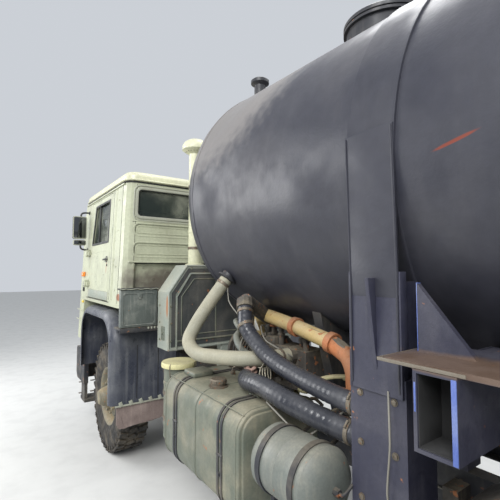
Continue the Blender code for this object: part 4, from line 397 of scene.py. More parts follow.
def tube(points, radius, sides=16, ends=True):
    """A tube extruded along points. The radius is a number, or a function of the distance along."""
    shape = bmesh.new()
    way = (points[1] - points[0]).normalized()
    out = way.orthogonal().normalized()
    gone = 0.0
    size = radius if callable(radius) else lambda reach: radius
    ring = bmesh.ops.create_circle(shape, segments=sides, radius=1)["verts"]
    edges = shape.edges[:]
    first = ring[:]
    for count, point in enumerate(points):
        after = points[min(count + 1, len(points) - 1)]
        before = points[max(count - 1, 0)]
        way = (after - before).normalized()
        out = (out - way * out.dot(way)).normalized()
        up = way.cross(out)
        if count:
            gone += (point - points[count - 1]).length
            made = bmesh.ops.extrude_edge_only(shape, edges=edges)["geom"]
            fresh = [item for item in made if isinstance(item, bmesh.types.BMVert)]
            edges = [item for item in made if isinstance(item, bmesh.types.BMEdge)
                     and item.verts[0] in fresh and item.verts[1] in fresh]
            links = {}
            wanted = set(fresh)
            for vert in ring:
                for edge in vert.link_edges:
                    if edge.other_vert(vert) in wanted:
                        links[vert] = edge.other_vert(vert)
            ring = [links[vert] for vert in ring]
        for step, vert in enumerate(ring):
            angle = math.tau * step / sides
            vert.co = point + (out * math.cos(angle) + up * math.sin(angle)) * size(gone)
    if ends:
        shape.faces.new(first)
        shape.faces.new(ring)
    bmesh.ops.recalc_face_normals(shape, faces=shape.faces)
    return shape


def pipe(places, radius, sides=12, steps=6):
    return tube(smooth_route(places, steps) if len(places) > 3 else [Vector(place) for place in places],
                radius, sides)


def bent_rod(places, radius, sides=12, steps=6):
    """A pipe through places given by side, station and height."""
    return pipe([at(*place) for place in places], radius, sides, steps)


def pin(start, stop, radius, steps=20, bevel=0.0):
    """A rod between two places given by side, station and height."""
    return rod(at(*start), at(*stop), radius, steps, bevel)


def hoop(middle, axis, inner, outer, half, steps):
    """A flat band of this half width round an axis."""
    return lathe(((-half, inner), (-half, outer), (half, outer), (half, inner)), middle, axis, steps)


def merged(shapes):
    """One bmesh that holds all the shapes."""
    whole = bmesh.new()
    for shape in shapes:
        mesh = bpy.data.meshes.new("part")
        shape.to_mesh(mesh)
        shape.free()
        whole.from_mesh(mesh)
        bpy.data.meshes.remove(mesh)
    return whole


def flipped(shapes):
    """The same shapes on the truck's other side."""
    made = []
    for shape in shapes:
        other = shape.copy()
        bmesh.ops.scale(other, verts=other.verts, vec=(-1, 1, 1))
        bmesh.ops.reverse_faces(other, faces=other.faces)
        made.append(other)
    return made


def both(shapes):
    return [*shapes, *flipped(shapes)]


def leaning(height):
    """How much of its full width the cab has at this height."""
    return 1 - CAB_LEAN * (height - DOOR_FOOT) / CAB_RISE


def leaned(shapes):
    """The cab's sides lean in towards its roof, as its CAD walls do."""
    for shape in shapes:
        for vert in shape.verts:
            vert.co.x *= leaning(vert.co.z)
    return shapes


def bolt(place, way, size, head=None):
    """A six-sided bolt head with a washer under it."""
    place, way = Vector(place), Vector(way).normalized()
    head = head or size * 0.7
    return [rod(place - way * size * 0.2, place + way * size * 0.18, size * 1.25, 16),
            lathe(((0, 0), (0, size), (head * 0.85, size), (head, size * 0.8), (head, 0)), place, way, 6)]


def add(name, shapes, finish, body="root", stands_for=(), sharp=35):
    """Makes one piece from shapes, smooth but for its sharp edges, and lets it ride on a body."""
    whole = shapes[0] if len(shapes) == 1 else merged(shapes)
    mesh = bpy.data.meshes.new(name)
    whole.to_mesh(mesh)
    whole.free()
    mesh.polygons.foreach_set("use_smooth", [True] * len(mesh.polygons))
    mesh.set_sharp_from_angle(angle=math.radians(sharp))
    made = bpy.data.objects.new(name, mesh)
    bpy.context.collection.objects.link(made)
    mesh.materials.append(finish)
    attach(made, body)
    if stands_for:
        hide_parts(*stands_for)


def add_pair(name, shapes, finish, body="root", stands_for="", sharp=35):
    """The left piece and its mirror image. A star in the body's or the node's name stands for the side."""
    for side, made in (("left", shapes), ("right", flipped(shapes))):
        nodes = (stands_for.replace("*", side),) if stands_for else ()
        add(name + "_" + side, made, finish, body.replace("*", side), nodes, sharp)


# Tank

TANK_FRONT, TANK_LONG, TANK_HEAD, TANK_RADIUS, TANK_HEIGHT = 2.93, 3.00, 0.50, 1.00, 2.42
TANK_PIVOT = at(0, 4.54, TANK_HEIGHT)
TANK_TURN = Matrix.Rotation(math.radians(-2.5), 4, "X")
BANDS = ((4.42, 0.24), (5.77, 0.12))
NECK_STATION, NECK_RADIUS, NECK_TALL = 3.90, 0.27, 0.16
TOP = TANK_HEIGHT + TANK_RADIUS
RIM = TOP + NECK_TALL
HINGE_STATION = NECK_STATION + 0.30 + 0.044
OUTLET = (0.45, 1.75)


def tipped(shapes):
    """The tank leans back a little, about its middle strap."""
    for shape in shapes:
        bmesh.ops.rotate(shape, verts=shape.verts, cent=TANK_PIVOT, matrix=TANK_TURN.to_3x3())
    return shapes


def ring_bead(station, radius, wide, proud):
    """A weld bead round the tank."""
    start = station - wide / 2
    return lathe(((0, radius - 0.004), (wide * 0.15, radius + proud * 0.7), (wide * 0.5, radius + proud),
                  (wide * 0.85, radius + proud * 0.7), (wide, radius - 0.004)),
                 at(0, start, TANK_HEIGHT), Y_AXIS, 120)


def tank_profile():
    rings = [math.pi / 2 * step / 22 for step in range(23)]
    profile = [(-TANK_HEAD * math.cos(turn), TANK_RADIUS * math.sin(turn)) for turn in rings]
    for station, width in BANDS:
        near = station - TANK_FRONT
        profile += [(near, TANK_RADIUS), (near + 0.002, TANK_RADIUS + 0.010),
                    (near + 0.012, TANK_RADIUS + 0.011), (near + 0.02, TANK_RADIUS + 0.008),
                    (near + width - 0.02, TANK_RADIUS + 0.008), (near + width - 0.012, TANK_RADIUS + 0.011),
                    (near + width - 0.002, TANK_RADIUS + 0.010), (near + width, TANK_RADIUS)]
    profile += [(TANK_LONG + TANK_HEAD * math.cos(turn), TANK_RADIUS * math.sin(turn))
                for turn in reversed(rings)]
    return profile


def dented(shape):
    """Old plate is never quite round: shallow waves and a few dents between the bands."""
    for vert in shape.verts:
        out = Vector((vert.co.x, 0, vert.co.z - TANK_HEIGHT))
        if out.length > 0.2:
            wave = noise.noise(vert.co * 1.1) * 0.004 + noise.noise(vert.co * 4.0) * 0.0015
            vert.co -= out.normalized() * (abs(wave) + 0.0005)
    return shape


def make_neck():
    """The manhole's neck with its rolled rim, weld and hinge."""
    neck = lathe(((0, NECK_RADIUS), (0.30, NECK_RADIUS), (0.30, NECK_RADIUS + 0.022),
                  (0.318, NECK_RADIUS + 0.022), (0.318, NECK_RADIUS - 0.02), (0.22, NECK_RADIUS - 0.02)),
                 at(0, NECK_STATION, RIM - 0.318), Z_AXIS, 64)
    weld = lathe(((0, NECK_RADIUS), (0.02, NECK_RADIUS + 0.035), (0.035, NECK_RADIUS + 0.03),
                  (0.05, NECK_RADIUS)), at(0, NECK_STATION, TOP - 0.045), Z_AXIS, 64)
    ears = [slab((side - 0.006, 4.14, RIM - 0.06), (side + 0.006, 4.265, RIM + 0.014), 0.003)
            for side in (-0.037, 0.037)]
    hinge = pin((-0.05, HINGE_STATION, RIM), (0.05, HINGE_STATION, RIM), 0.011, 16, 0.002)
    add("tank_neck", tipped([neck, weld, *ears, hinge]), tank_steel)


def make_tank_pipes():
    """The vent on top, the riser hose's root, and the rear outlet with its bolted flange and valve."""
    parts = [lathe(((0, 0.05), (0.30, 0.05), (0.32, 0.08), (0.345, 0.08), (0.36, 0.06), (0.36, 0)),
                   at(0.33, 2.90, 3.24), Z_AXIS, 32)]
    mouth = at(*RISER[0])
    way = (mouth - at(*RISER[1])).normalized()
    parts += [rod(mouth + way * 0.15, mouth + way * 0.002, 0.056, 24, 0.003),
              rod(mouth + way * 0.02, mouth + way * 0.005, 0.075, 24, 0.003)]
    side, height = OUTLET
    parts.append(lathe(((0, 0.065), (0.34, 0.065), (0.34, 0.1), (0.369, 0.1), (0.3705, 0.098), (0.3705, 0.05),
                        (0.31, 0.05), (0.31, 0)), at(side, 6.41, height), Y_AXIS, 40))
    for across, up in around(8, 0.083, 0.5):
        parts += bolt(at(side + across, 6.75, height + up), -Y_AXIS, 0.008)
    parts += [slab((side - 0.065, 6.58, height + 0.05), (side + 0.065, 6.66, height + 0.11), 0.015),
              pin((side, 6.62, height + 0.10), (side, 6.62, height + 0.21), 0.014, 16),
              lathe(((0, 0.07), (0.006, 0.08), (0.012, 0.07), (0.006, 0.06), (0, 0.07)),
                    at(side, 6.62, height + 0.20), Z_AXIS, 32),
              slab((side - 0.08, 6.61, height + 0.20), (side + 0.08, 6.63, height + 0.212), 0.003)]
    add("tank_pipes", parts, tank_steel)


def make_tank():
    body = dented(lathe(tank_profile(), at(0, TANK_FRONT, TANK_HEIGHT), Y_AXIS, 144))
    beads = [ring_bead(station, TANK_RADIUS, 0.016, 0.003)
             for station in (TANK_FRONT, TANK_FRONT + TANK_LONG)]
    add("tank_plates", tipped([body, *beads]), tank_black, "root", ("tank_shell",), sharp=50)
    make_neck()
    make_tank_pipes()
    make_lid()
    strap_details()


def make_lid():
    """The manhole's dished lid with its eye, strap and clamp nuts."""
    low = RIM + 0.006
    parts = [lathe(((0, 0), (0, 0.284), (0.004, 0.293), (0.026, 0.293), (0.034, 0.284), (0.038, 0.25),
                    (0.048, 0.2), (0.064, 0.11), (0.07, 0)),
                   at(0, NECK_STATION, low), Z_AXIS, 64)]
    parts.append(pin((-0.024, HINGE_STATION, RIM), (0.024, HINGE_STATION, RIM), 0.021, 24, 0.003))
    parts.append(slab((-0.022, 4.05, low + 0.03), (0.022, 4.246, low + 0.042), 0.004))
    parts.append(slab((-0.022, 4.18, low + 0.009), (0.022, 4.246, low + 0.036), 0.004))
    grip = [at(-0.06, 3.74, low + 0.045), at(-0.06, 3.74, low + 0.07), at(0.0, 3.74, low + 0.076),
            at(0.06, 3.74, low + 0.07), at(0.06, 3.74, low + 0.045)]
    parts.append(pipe(grip, 0.007, 10))
    for side, along in around(4, 0.262, 0.5):
        parts += bolt(at(side, NECK_STATION + along, low + 0.037), Z_AXIS, 0.014)
    add("manhole_cover", tipped(parts), tank_steel, "lid", ("manhole_lid",))


def strap_details():
    """The strap's straight legs from the tank's side down to its brackets, with folded edges."""
    legs = []
    high, foot, front, rear = (1.0145, 2.47), (0.9935, 1.80), 4.424, 4.656
    outline = [(high[0] - 0.016, high[1]), (high[0] - 0.004, high[1] + 0.012), (high[0], high[1]),
               (foot[0], foot[1] + 0.02), (foot[0] - 0.0025, foot[1])]
    outline += [(foot[0] - 0.003, 1.895), (0.985, 1.91)]
    legs.append(prism(outline, "Y", front + NOSE, rear + NOSE, 0.002))
    for station in (front + 0.006, rear - 0.006):
        legs.append(tube([at(high[0] + 0.001, station, high[1]), at(foot[0] + 0.0015, station, 1.90),
                          at(foot[0] - 0.001, station, 1.50), at(foot[0] - 0.004, station, 1.44)], 0.0045, 8))
    add("strap_legs", both(legs), tank_black)


# Wheels

FRONT_HUB = at(0, 1.22, 0.56)
REAR_HUB = at(0, 5.22, 0.56)
TREAD_BLOCKS, TREAD_RADIUS = 38, 0.5475
WHEEL_NUTS, NUT_CIRCLE = 10, 0.168


def tyre(middle):
    """A truck tyre: bulging walls with moulded rings, and staggered tread blocks."""
    outline = [(-0.112, 0.287), (-0.122, 0.292), (-0.126, 0.306), (-0.138, 0.335), (-0.147, 0.37),
               (-0.150, 0.41), (-0.1485, 0.414), (-0.1485, 0.420), (-0.150, 0.424), (-0.147, 0.46),
               (-0.140, 0.495), (-0.138, 0.50), (-0.133, 0.522), (-0.120, 0.538), (-0.04, 0.541)]
    profile = [(middle + reach, radius) for reach, radius in outline]
    profile += [(2 * middle - reach, radius) for reach, radius in reversed(profile)]
    blocks = [lathe(profile, (0, 0, 0), X_AXIS, 96)]
    for row, (side, wide, yaw) in enumerate(((-0.098, 0.082, 14), (0.098, 0.082, -14), (0.0, 0.072, 26))):
        for step in range(TREAD_BLOCKS):
            turn = math.tau * (step + row * 0.5) / TREAD_BLOCKS
            lug = solid((-wide / 2, -0.029, -0.012), (wide / 2, 0.029, 0.012), 0.004, 1)
            place = Matrix.Rotation(turn, 4, "X") @ Matrix.Translation((middle + side, 0, TREAD_RADIUS))
            lug.transform(place @ Matrix.Rotation(math.radians(yaw), 4, "Z"))
            blocks.append(lug)
    for side in (-1, 1):
        for step in range(TREAD_BLOCKS):
            turn = math.tau * (step + 0.25) / TREAD_BLOCKS
            lug = solid((-0.006, -0.014, -0.022), (0.006, 0.014, 0.022), 0.002, 1)
            lug.transform(Matrix.Rotation(turn, 4, "X")
                          @ Matrix.Translation((middle + side * 0.1395, 0, 0.512)))
            blocks.append(lug)
    return blocks


def rim(middle, dish, face):
    """A steel rim: barrel with its lock ring, and a holed disc that bulges from dish to face."""
    barrel = lathe(((middle - 0.125, 0.298), (middle - 0.118, 0.302), (middle - 0.112, 0.285),
                    (middle - 0.06, 0.262), (middle + 0.06, 0.262), (middle + 0.112, 0.285),
                    (middle + 0.118, 0.302), (middle + 0.125, 0.298), (middle + 0.120, 0.286),
                    (middle + 0.105, 0.272), (middle + 0.06, 0.252), (middle - 0.06, 0.252),
                    (middle - 0.105, 0.272), (middle - 0.120, 0.286), (middle - 0.125, 0.298)),
                   (0, 0, 0), X_AXIS, 72)
    disc = lathe(((dish, 0.252), (dish + (face - dish) * 0.15, 0.235), (dish + (face - dish) * 0.55, 0.205),
                  (dish + (face - dish) * 0.9, 0.165), (face, 0.145), (face, 0.085)), (0, 0, 0), X_AXIS, 60)
    holes = [item for item in disc.faces
             if 0.205 < item.calc_center_median().yz.length < 0.235
             and int((math.atan2(item.calc_center_median().z, item.calc_center_median().y) + math.tau)
                     / (math.tau / 60) + 0.5) % 6 < 3]
    bmesh.ops.delete(disc, geom=holes, context="FACES")
    bmesh.ops.solidify(disc, geom=disc.faces[:], thickness=0.009)
    return [barrel, disc]


def placed(shapes, centre):
    for shape in shapes:
        bmesh.ops.translate(shape, verts=shape.verts, vec=centre)
    return shapes


def hub_parts(face, tip, size):
    """Hub barrel, cap and wheel nuts outside a disc's face."""
    parts = [lathe(((face - 0.02, size * 0.9), (face + 0.004, size), (tip - 0.045, size * 0.78),
                    (tip - 0.03, size * 0.74), (tip - 0.022, size * 0.66), (tip - 0.006, size * 0.60),
                    (tip - 0.003, size * 0.5), (tip - 0.003, 0)), (0, 0, 0), X_AXIS, 48)]
    for nut, small in zip(around(WHEEL_NUTS, NUT_CIRCLE), around(WHEEL_NUTS, size * 0.63)):
        parts += bolt((face + 0.006, *nut), X_AXIS, 0.015, 0.018)
        parts += bolt((tip - 0.028, *small), X_AXIS, 0.007, 0.006)
    return parts


def make_wheels():
    """Each hub's parts are drawn at the origin on the left side, then placed and mirrored."""
    ride, paint = "*_front_wheel", "wheel_paint"
    add_pair("front_tyre", placed(tyre(1.01), FRONT_HUB), tyre_rubber, ride, "front_wheel_*")
    add_pair("front_rim", placed(rim(1.01, 1.06, 1.10), FRONT_HUB), rim_paint, ride)
    back = lathe(((0.90, 0.06), (0.90, 0.15), (0.99, 0.15), (1.0, 0.12), (1.085, 0.12)), (0, 0, 0), X_AXIS,
                 40)
    add_pair("front_hub", placed([*hub_parts(1.105, 1.235, 0.115), back], FRONT_HUB), rim_paint, ride)
    ride = "*_twin_wheel"
    tyres = placed([*tyre(1.094), *tyre(0.749)], REAR_HUB)
    add_pair("twin_tyres", tyres, tyre_rubber, ride, "twin_wheel_*")
    rims = placed([*rim(1.094, 1.03, 0.955), *rim(0.749, 0.83, 0.905)], REAR_HUB)
    add_pair("twin_rims", rims, rim_paint, ride)
    drum = lathe(((0.655, 0.10), (0.655, 0.2), (0.80, 0.2), (0.82, 0.15), (0.94, 0.13)), (0, 0, 0), X_AXIS,
                 48)
    add_pair("twin_hub", placed([*hub_parts(0.965, 1.20, 0.12), drum], REAR_HUB), rim_paint, ride)


# Cab

CAB_HALF, CAB_REAR, CAB_LEAN, CAB_RISE, DOOR_FOOT = 1.25, 2.00, 0.035, 1.16, 1.60


def frame_strip(outline, axis, place, wide, thick, rings=6):
    """A moulded strip, round in section, that follows an outline drawn across an axis."""
    points = []
    for first, second in outline:
        points.append(Vector({"X": (place, first, second), "Y": (first, place, second)}[axis]))
    points.append(points[0].copy())
    shape = tube(points, 1.0, rings, ends=False)
    count = len(shape.verts) // rings
    middle = sum(points[:-1], Vector()) / (len(points) - 1)
    shape.verts.ensure_lookup_table()
    for step in range(count):
        here = points[min(step, len(points) - 1)]
        across = {"X": X_AXIS, "Y": Y_AXIS}[axis]
        out = (here - middle) - across * (here - middle).dot(across)
        before, after = points[(step - 1) % (len(points) - 1)], points[(step + 1) % (len(points) - 1)]
        if step in (0, count - 1):
            before, after = points[-2], points[1]
        along = (after - before).normalized()
        out = across.cross(along).normalized() * (1 if across.cross(along).dot(out) > 0 else -1)
        for turn in range(rings):
            angle = math.tau * turn / rings
            vert = shape.verts[step * rings + turn]
            vert.co = here + out * math.cos(angle) * wide / 2 + across * math.sin(angle) * thick / 2
    bmesh.ops.recalc_face_normals(shape, faces=shape.faces)
    return shape


def window_outline(inset):
    return rounded((0.49 + inset, 2.41 + inset), (1.15 - inset, 2.70 - inset), 0.05 - inset / 2, 6)


def at_stations(outline):
    """Pairs of station and height, as world pairs."""
    return [(first + NOSE, second) for first, second in outline]


def rear_wall():
    """Gaskets round the rear windows, pressed panels' raised rims, the seam and its gutter."""
    rear = CAB_REAR + NOSE
    rubber, lips, paint, dark = [], [], [], []
    rubber.append(frame_strip(window_outline(0.004), "Y", rear + 0.002, 0.030, 0.016, 8))
    lips.append(frame_strip(window_outline(-0.022), "Y", rear + 0.001, 0.014, 0.012, 8))
    rubber.append(frame_strip(window_outline(0.020), "Y", rear - 0.006, 0.010, 0.008, 6))
    for low, high in ((2.04, 2.18), (2.24, 2.36)):
        outline = rounded((0.47, low), (1.16, high), 0.05, 6)
        paint.append(frame_strip(outline, "Y", rear - 0.0015, 0.018, 0.010, 8))
        inner = rounded((0.50, low + 0.028), (1.13, high - 0.028), 0.03, 6)
        paint.append(frame_strip(inner, "Y", rear - 0.008, 0.010, 0.008, 6))
    paint.append(slab((0.0, CAB_REAR - 0.003, 2.375), (1.18, CAB_REAR + 0.004, 2.388), 0.002))
    paint.append(slab((0.0, CAB_REAR - 0.004, 1.985), (1.20, CAB_REAR + 0.010, 2.003), 0.004))
    dark.append(slab((0.0, CAB_REAR - 0.044, 1.974), (1.15, CAB_REAR - 0.0385, 1.984), 0.001))
    dark.append(slab((1.1485, CAB_REAR - 0.002, 2.004), (1.1515, CAB_REAR + 0.0015, 2.735), 0.0005))
    outline = rounded((0.52, 1.68), (0.82, 1.90), 0.03)
    paint.append(frame_strip(outline, "Y", rear - 0.040, 0.010, 0.006))
    for height in (1.64, 1.80, 1.94):
        for side in (0.10, 0.46, 1.04):
            paint += bolt(at(side, CAB_REAR - 0.040, height), Y_AXIS, 0.008)
    leaned([*rubber, *lips, *paint, *dark])
    add("rear_window_gaskets", both(rubber[:1]), gasket_lip, "cab")
    add("rear_window_joints", both(rubber[1:]), gasket, "cab")
    add("rear_window_lips", both(lips), gasket_lip, "cab")
    add("rear_wall_pressings", both(paint), cream, "cab")
    add("rear_wall_joints", both(dark), gap_and_shade_black, "cab")


def side_x(height):
    return CAB_HALF * leaning(height)


def on_wall(station, height, out=0.0):
    """A place on the cab's left side."""
    return at(side_x(height) + out, station, height)


def wall_strip(low, high, start, stop, proud, bevel=0.003):
    """A thin block that lies on the cab's leaning side, between two stations and two heights."""
    shape = solid(at(CAB_HALF - 0.004, start, low), at(CAB_HALF + proud, stop, high), bevel)
    bmesh.ops.subdivide_edges(shape, edges=shape.edges[:], cuts=1)
    return leaned([shape])[0]


def cab_sides():
    """Door seams, gutters, pillars' joints, sill strips, indicators and their small lamps."""
    paint, dark, strip, orange, yellow = [], [], [], [], []
    paint.append(wall_strip(2.728, 2.742, 0.40, 1.93, 0.014))
    dark.append(wall_strip(1.62, 2.73, 1.600, 1.605, 0.0012, 0.0005))
    dark.append(wall_strip(1.60, 2.73, 1.885, 1.891, 0.0016, 0.0005))
    dark.append(wall_strip(1.592, 1.600, 0.62, 1.60, 0.0012, 0.0005))
    paint.append(wall_strip(1.62, 2.72, 1.66, 1.672, 0.004))
    paint.append(wall_strip(1.62, 2.72, 1.70, 1.706, 0.003, 0.001))
    for height in (1.72, 1.95, 2.30, 2.60):
        paint += bolt(on_wall(1.79, height, 0.001), X_AXIS, 0.007)
    dark.append(wall_strip(1.66, 1.78, 0.44, 0.50, 0.012, 0.004))
    orange.append(leaned([slab((CAB_HALF, 0.42, 1.84), (CAB_HALF + 0.035, 0.50, 1.90), 0.010)])[0])
    yellow.append(leaned([slab((CAB_HALF, 0.44, 1.52), (CAB_HALF + 0.016, 0.50, 1.55), 0.005)])[0])
    for height in (1.30, 1.42):
        strip.append(leaned([slab((CAB_HALF + 0.004, 0.20, height), (CAB_HALF + 0.010, 0.50, height + 0.012),
                                  0.003)])[0])
    add("cab_side_trim", both(paint), cream, "cab")
    add("cab_side_joints", both(dark), gap_and_shade_black, "cab")
    add("cab_side_ribs", both(strip), cream, "cab")
    add("side_indicators", both(orange), orange_lens, "cab")
    add("side_markers", both(yellow), yellow_lens, "cab")


def door_details():
    """The doors' gaskets, pressings, handles, locks and inner linings."""
    outline = [(0.779, 2.214), (1.466, 2.214), (1.466, 2.651), (0.877, 2.651)]
    smooth = []
    for (first, second), (other, far) in zip(outline, outline[1:] + outline[:1]):
        for step in range(8):
            smooth.append((first + (other - first) * step / 8, second + (far - second) * step / 8))
    rubber = [frame_strip(at_stations(smooth), "X", CAB_HALF + 0.001, 0.026, 0.014, 8),
              slab((CAB_HALF - 0.02, 1.02, 2.216), (CAB_HALF - 0.006, 1.034, 2.65), 0.002)]
    bmesh.ops.subdivide_edges(rubber[1], edges=rubber[1].edges[:], cuts=1)
    paint = [frame_strip(at_stations([(0.72, 1.70), (1.51, 1.70), (1.51, 2.12), (0.72, 2.12)]), "X",
                         CAB_HALF - 0.001, 0.014, 0.006, 6)]
    low = slab((CAB_HALF - 0.002, 0.690, 1.608), (CAB_HALF + 0.003, 1.542, 1.695), 0.002)
    bmesh.ops.subdivide_edges(low, edges=low.edges[:], cuts=1)
    cup = lathe(((0, 0.030), (0.002, 0.034), (0.005, 0.034), (0.006, 0.028), (-0.004, 0.02), (-0.005, 0)),
                at(CAB_HALF, 1.44, 2.03), X_AXIS, 32)
    grip = bent_rod([(CAB_HALF + 0.002, 1.475, 2.03), (CAB_HALF + 0.014, 1.47, 2.03),
                     (CAB_HALF + 0.019, 1.44, 2.03), (CAB_HALF + 0.018, 1.38, 2.028),
                     (CAB_HALF + 0.012, 1.34, 2.027)], 0.008, 12)
    lock = pin((CAB_HALF, 1.46, 1.97), (CAB_HALF + 0.006, 1.46, 1.97), 0.013, 20, 0.002)
    inside = slab((CAB_HALF - 0.062, 0.72, 1.66), (CAB_HALF - 0.051, 1.51, 2.18), 0.010)
    rest = slab((CAB_HALF - 0.105, 0.95, 1.98), (CAB_HALF - 0.06, 1.36, 2.02), 0.014)
    crank = [pin((CAB_HALF - 0.062, 0.90, 1.92), (CAB_HALF - 0.085, 0.90, 1.92), 0.012, 16),
             pin((CAB_HALF - 0.08, 0.90, 1.92), (CAB_HALF - 0.08, 0.97, 1.88), 0.006, 12),
             pin((CAB_HALF - 0.075, 0.97, 1.88), (CAB_HALF - 0.105, 0.97, 1.88), 0.009, 12, 0.002)]
    leaned([*rubber, *paint, low, cup, grip, lock, inside, rest, *crank])
    add_pair("door_gasket", rubber, gasket, "*_door")
    add_pair("door_pressing", paint, cream, "*_door")
    add_pair("door_foot", [low], door_grey, "*_door")
    add_pair("door_handle", [cup, grip, lock], black_plastic, "*_door")
    add_pair("door_lining", [inside, rest, *crank], interior, "*_door")


def cab_top():
    """The roof's thick rounded cap with its gutter, and the dark joint below it."""
    shape = solid(at(-1.2095, 0.333, 2.7615), at(1.2095, 2.012, 2.858))
    round_edges(shape, uprights(shape), 0.12, 8)
    top = [edge for edge in shape.edges if min(vert.co.z for vert in edge.verts) > 2.85]
    round_edges(shape, top, 0.05, 6)
    for vert in shape.verts:
        if vert.co.z > 2.80:
            vert.co.z += 0.010 * (1 - min(abs(vert.co.x) / 1.2, 1)) - 0.004
    gutter = rounded((-1.214, 0.330 + NOSE), (1.214, 2.015 + NOSE), 0.12, 8)
    points = [Vector((first, second, 2.772)) for first, second in gutter]
    rail = tube([*points, points[0]], 0.008, 8, ends=False)
    hatch = slab((-0.32, 0.85, 2.852), (0.32, 1.35, 2.866), 0.006)
    add("roof_cap", [shape, rail, hatch], roof_cream, "cab", ("cab_roof",), sharp=40)
    joint = leaned([slab((-1.255, 0.36, 2.745), (1.255, 2.0035, 2.758))])[0]
    round_edges(joint, uprights(joint), 0.10, 6)
    add("roof_joint", [joint], gap_and_shade_black, "cab")


def cab_front():
    """Screen rubber, wipers, grille bars, lamps, a blank plate and the front steps' grips."""
    def screen(height, out=0.0):
        return 0.14 + 0.22 * (height - 1.98) / 0.78 - out
    rubber, trim, bars = [], [], []
    corners = [(-1.03, 2.065), (1.03, 2.065), (1.01, 2.655), (-1.01, 2.655)]
    points = []
    for (side, height), (other, far) in zip(corners, corners[1:] + corners[:1]):
        for step in range(10):
            share = step / 10
            here = height + (far - height) * share
            points.append(at(side + (other - side) * share, screen(here, 0.002), here))
    points.append(points[0])
    rubber.append(tube(points, 0.013, 8, ends=False))
    rubber.append(tube([at(0, screen(2.07, 0.001), 2.07), at(0, screen(2.36, 0.001), 2.36),
                        at(0, screen(2.65, 0.001), 2.65)], 0.010, 8))
    for side in (-0.62, 0.12):
        foot = at(side, screen(2.02, 0.012), 2.02)
        tip = at(side + 0.42, screen(2.30, 0.026), 2.30)
        rubber += [pin((side, screen(2.02, -0.01), 2.02), (side, screen(2.02, 0.022), 2.02), 0.014, 16),
                   tube([foot, foot.lerp(tip, 0.5) + Vector((0, -0.008, 0)), tip], 0.005, 8),
                   tube([at(side + 0.22, screen(2.16, 0.020), 2.16), tip,
                         at(side + 0.62, screen(2.44, 0.020), 2.44)], 0.006, 6)]
    add("screen_rubber_and_wipers", rubber, gasket, "cab")
    for step in range(7):
        height = 1.30 + step * 0.07
        bars.append(slab((-0.78, 0.124, height), (0.78, 0.146, height + 0.034), 0.006))
    bars += [slab((-0.82, 0.118, 1.26), (-0.78, 0.15, 1.80), 0.006),
             slab((0.78, 0.118, 1.26), (0.82, 0.15, 1.80), 0.006),
             slab((-0.82, 0.118, 1.78), (0.82, 0.15, 1.82), 0.006),
             slab((-0.82, 0.118, 1.24), (0.82, 0.15, 1.28), 0.006)]
    add("grille_bars", bars, black_plastic, "cab")
    back = [slab((-0.78, 0.134, 1.28), (0.78, 0.1415, 1.78), 0.0)]
    add("grille_back", back, gap_and_shade_black, "cab")
    trim += [slab((-1.06, 0.130, 1.90), (1.06, 0.143, 1.93), 0.005),
             slab((-1.06, 0.132, 1.15), (1.06, 0.143, 1.17), 0.004)]
    for side in (-0.95, 0.95):
        trim.append(bent_rod([(side, 0.143, 1.30), (side, 0.10, 1.33), (side, 0.095, 1.50),
                              (side, 0.10, 1.67), (side, 0.143, 1.70)], 0.010, 10))
    add("front_trim", trim, cream, "cab")
    lenses, rims = [], []
    for side in (-0.86, 0.86):
        lenses.append(lathe(((0, 0.088), (0.014, 0.082), (0.024, 0.055), (0.028, 0)), at(side, 0.028, 0.72),
                            -Y_AXIS, 40))
        rims.append(lathe(((0.0, 0.099), (0.024, 0.099), (0.029, 0.094), (0.020, 0.086), (0.0, 0.086)),
                          at(side, 0.030, 0.72), -Y_AXIS, 48))
    add("headlamp_glass", lenses, clear_lens, "root")
    add("headlamp_rims", rims, bright_steel, "root")
    blinkers = [slab((side - 0.07, -0.006, 0.80), (side + 0.07, 0.01, 0.86), 0.008) for side in (-1.08, 1.08)]
    add("front_blinkers", blinkers, orange_lens, "root")
    add("front_plate", [slab((-0.26, -0.006, 0.66), (0.26, 0.004, 0.775), 0.003)], plate_white, "root")
    hooks = []
    for side in (-0.5, 0.5):
        hooks.append(bent_rod([(side - 0.03, 0.01, 0.60), (side - 0.03, -0.045, 0.60), (side, -0.06, 0.60),
                               (side + 0.03, -0.045, 0.60), (side + 0.03, 0.01, 0.60)], 0.011, 12))
        for height in (0.57, 0.87):
            hooks += bolt(at(side, 0.001, height), -Y_AXIS, 0.012)
    add("tow_loops", hooks, steel, "root")


def mirrors():
    head = slab((1.2465, 0.501, 2.30), (1.4085, 0.549, 2.579), 0.022, 4)
    low = slab((1.252, 0.505, 2.222), (1.402, 0.547, 2.29), 0.020, 4)
    ring = frame_strip(rounded((1.253, 2.307), (1.402, 2.572), 0.02), "Y", 0.5495 + NOSE, 0.012, 0.008, 6)
    arms, feet = [], []
    for height, bend in ((2.17, 0.035), (2.63, -0.035)):
        bends = ((1.21, 0.0), (1.26, 0.0), (1.30, bend * 0.3), (1.3145, bend), (1.3145, bend * 1.5))
        arms.append(bent_rod([(side, 0.525, height + rise) for side, rise in bends], 0.011))
        feet.append(pin((1.2505, 0.525, height), (1.2585, 0.525, height), 0.024, 20, 0.003))
    add_pair("mirror_frame", [head, *arms, *leaned(feet)], black_plastic, "cab", "mirror_*")
    add_pair("mirror_rim", [ring], gasket_lip, "cab")
    add_pair("mirror_low", [low], gasket_lip, "cab")
    panes = [slab((1.257, 0.546, 2.311), (1.398, 0.5505, 2.568), 0.002),
             slab((1.262, 0.544, 2.232), (1.392, 0.5485, 2.28), 0.002)]
    add_pair("mirror_glass", panes, mirror_face, "cab")


def make_cab():
    rear_wall()
    cab_sides()
    door_details()
    cab_top()
    cab_front()
    mirrors()


# Hoses, pipes and ties

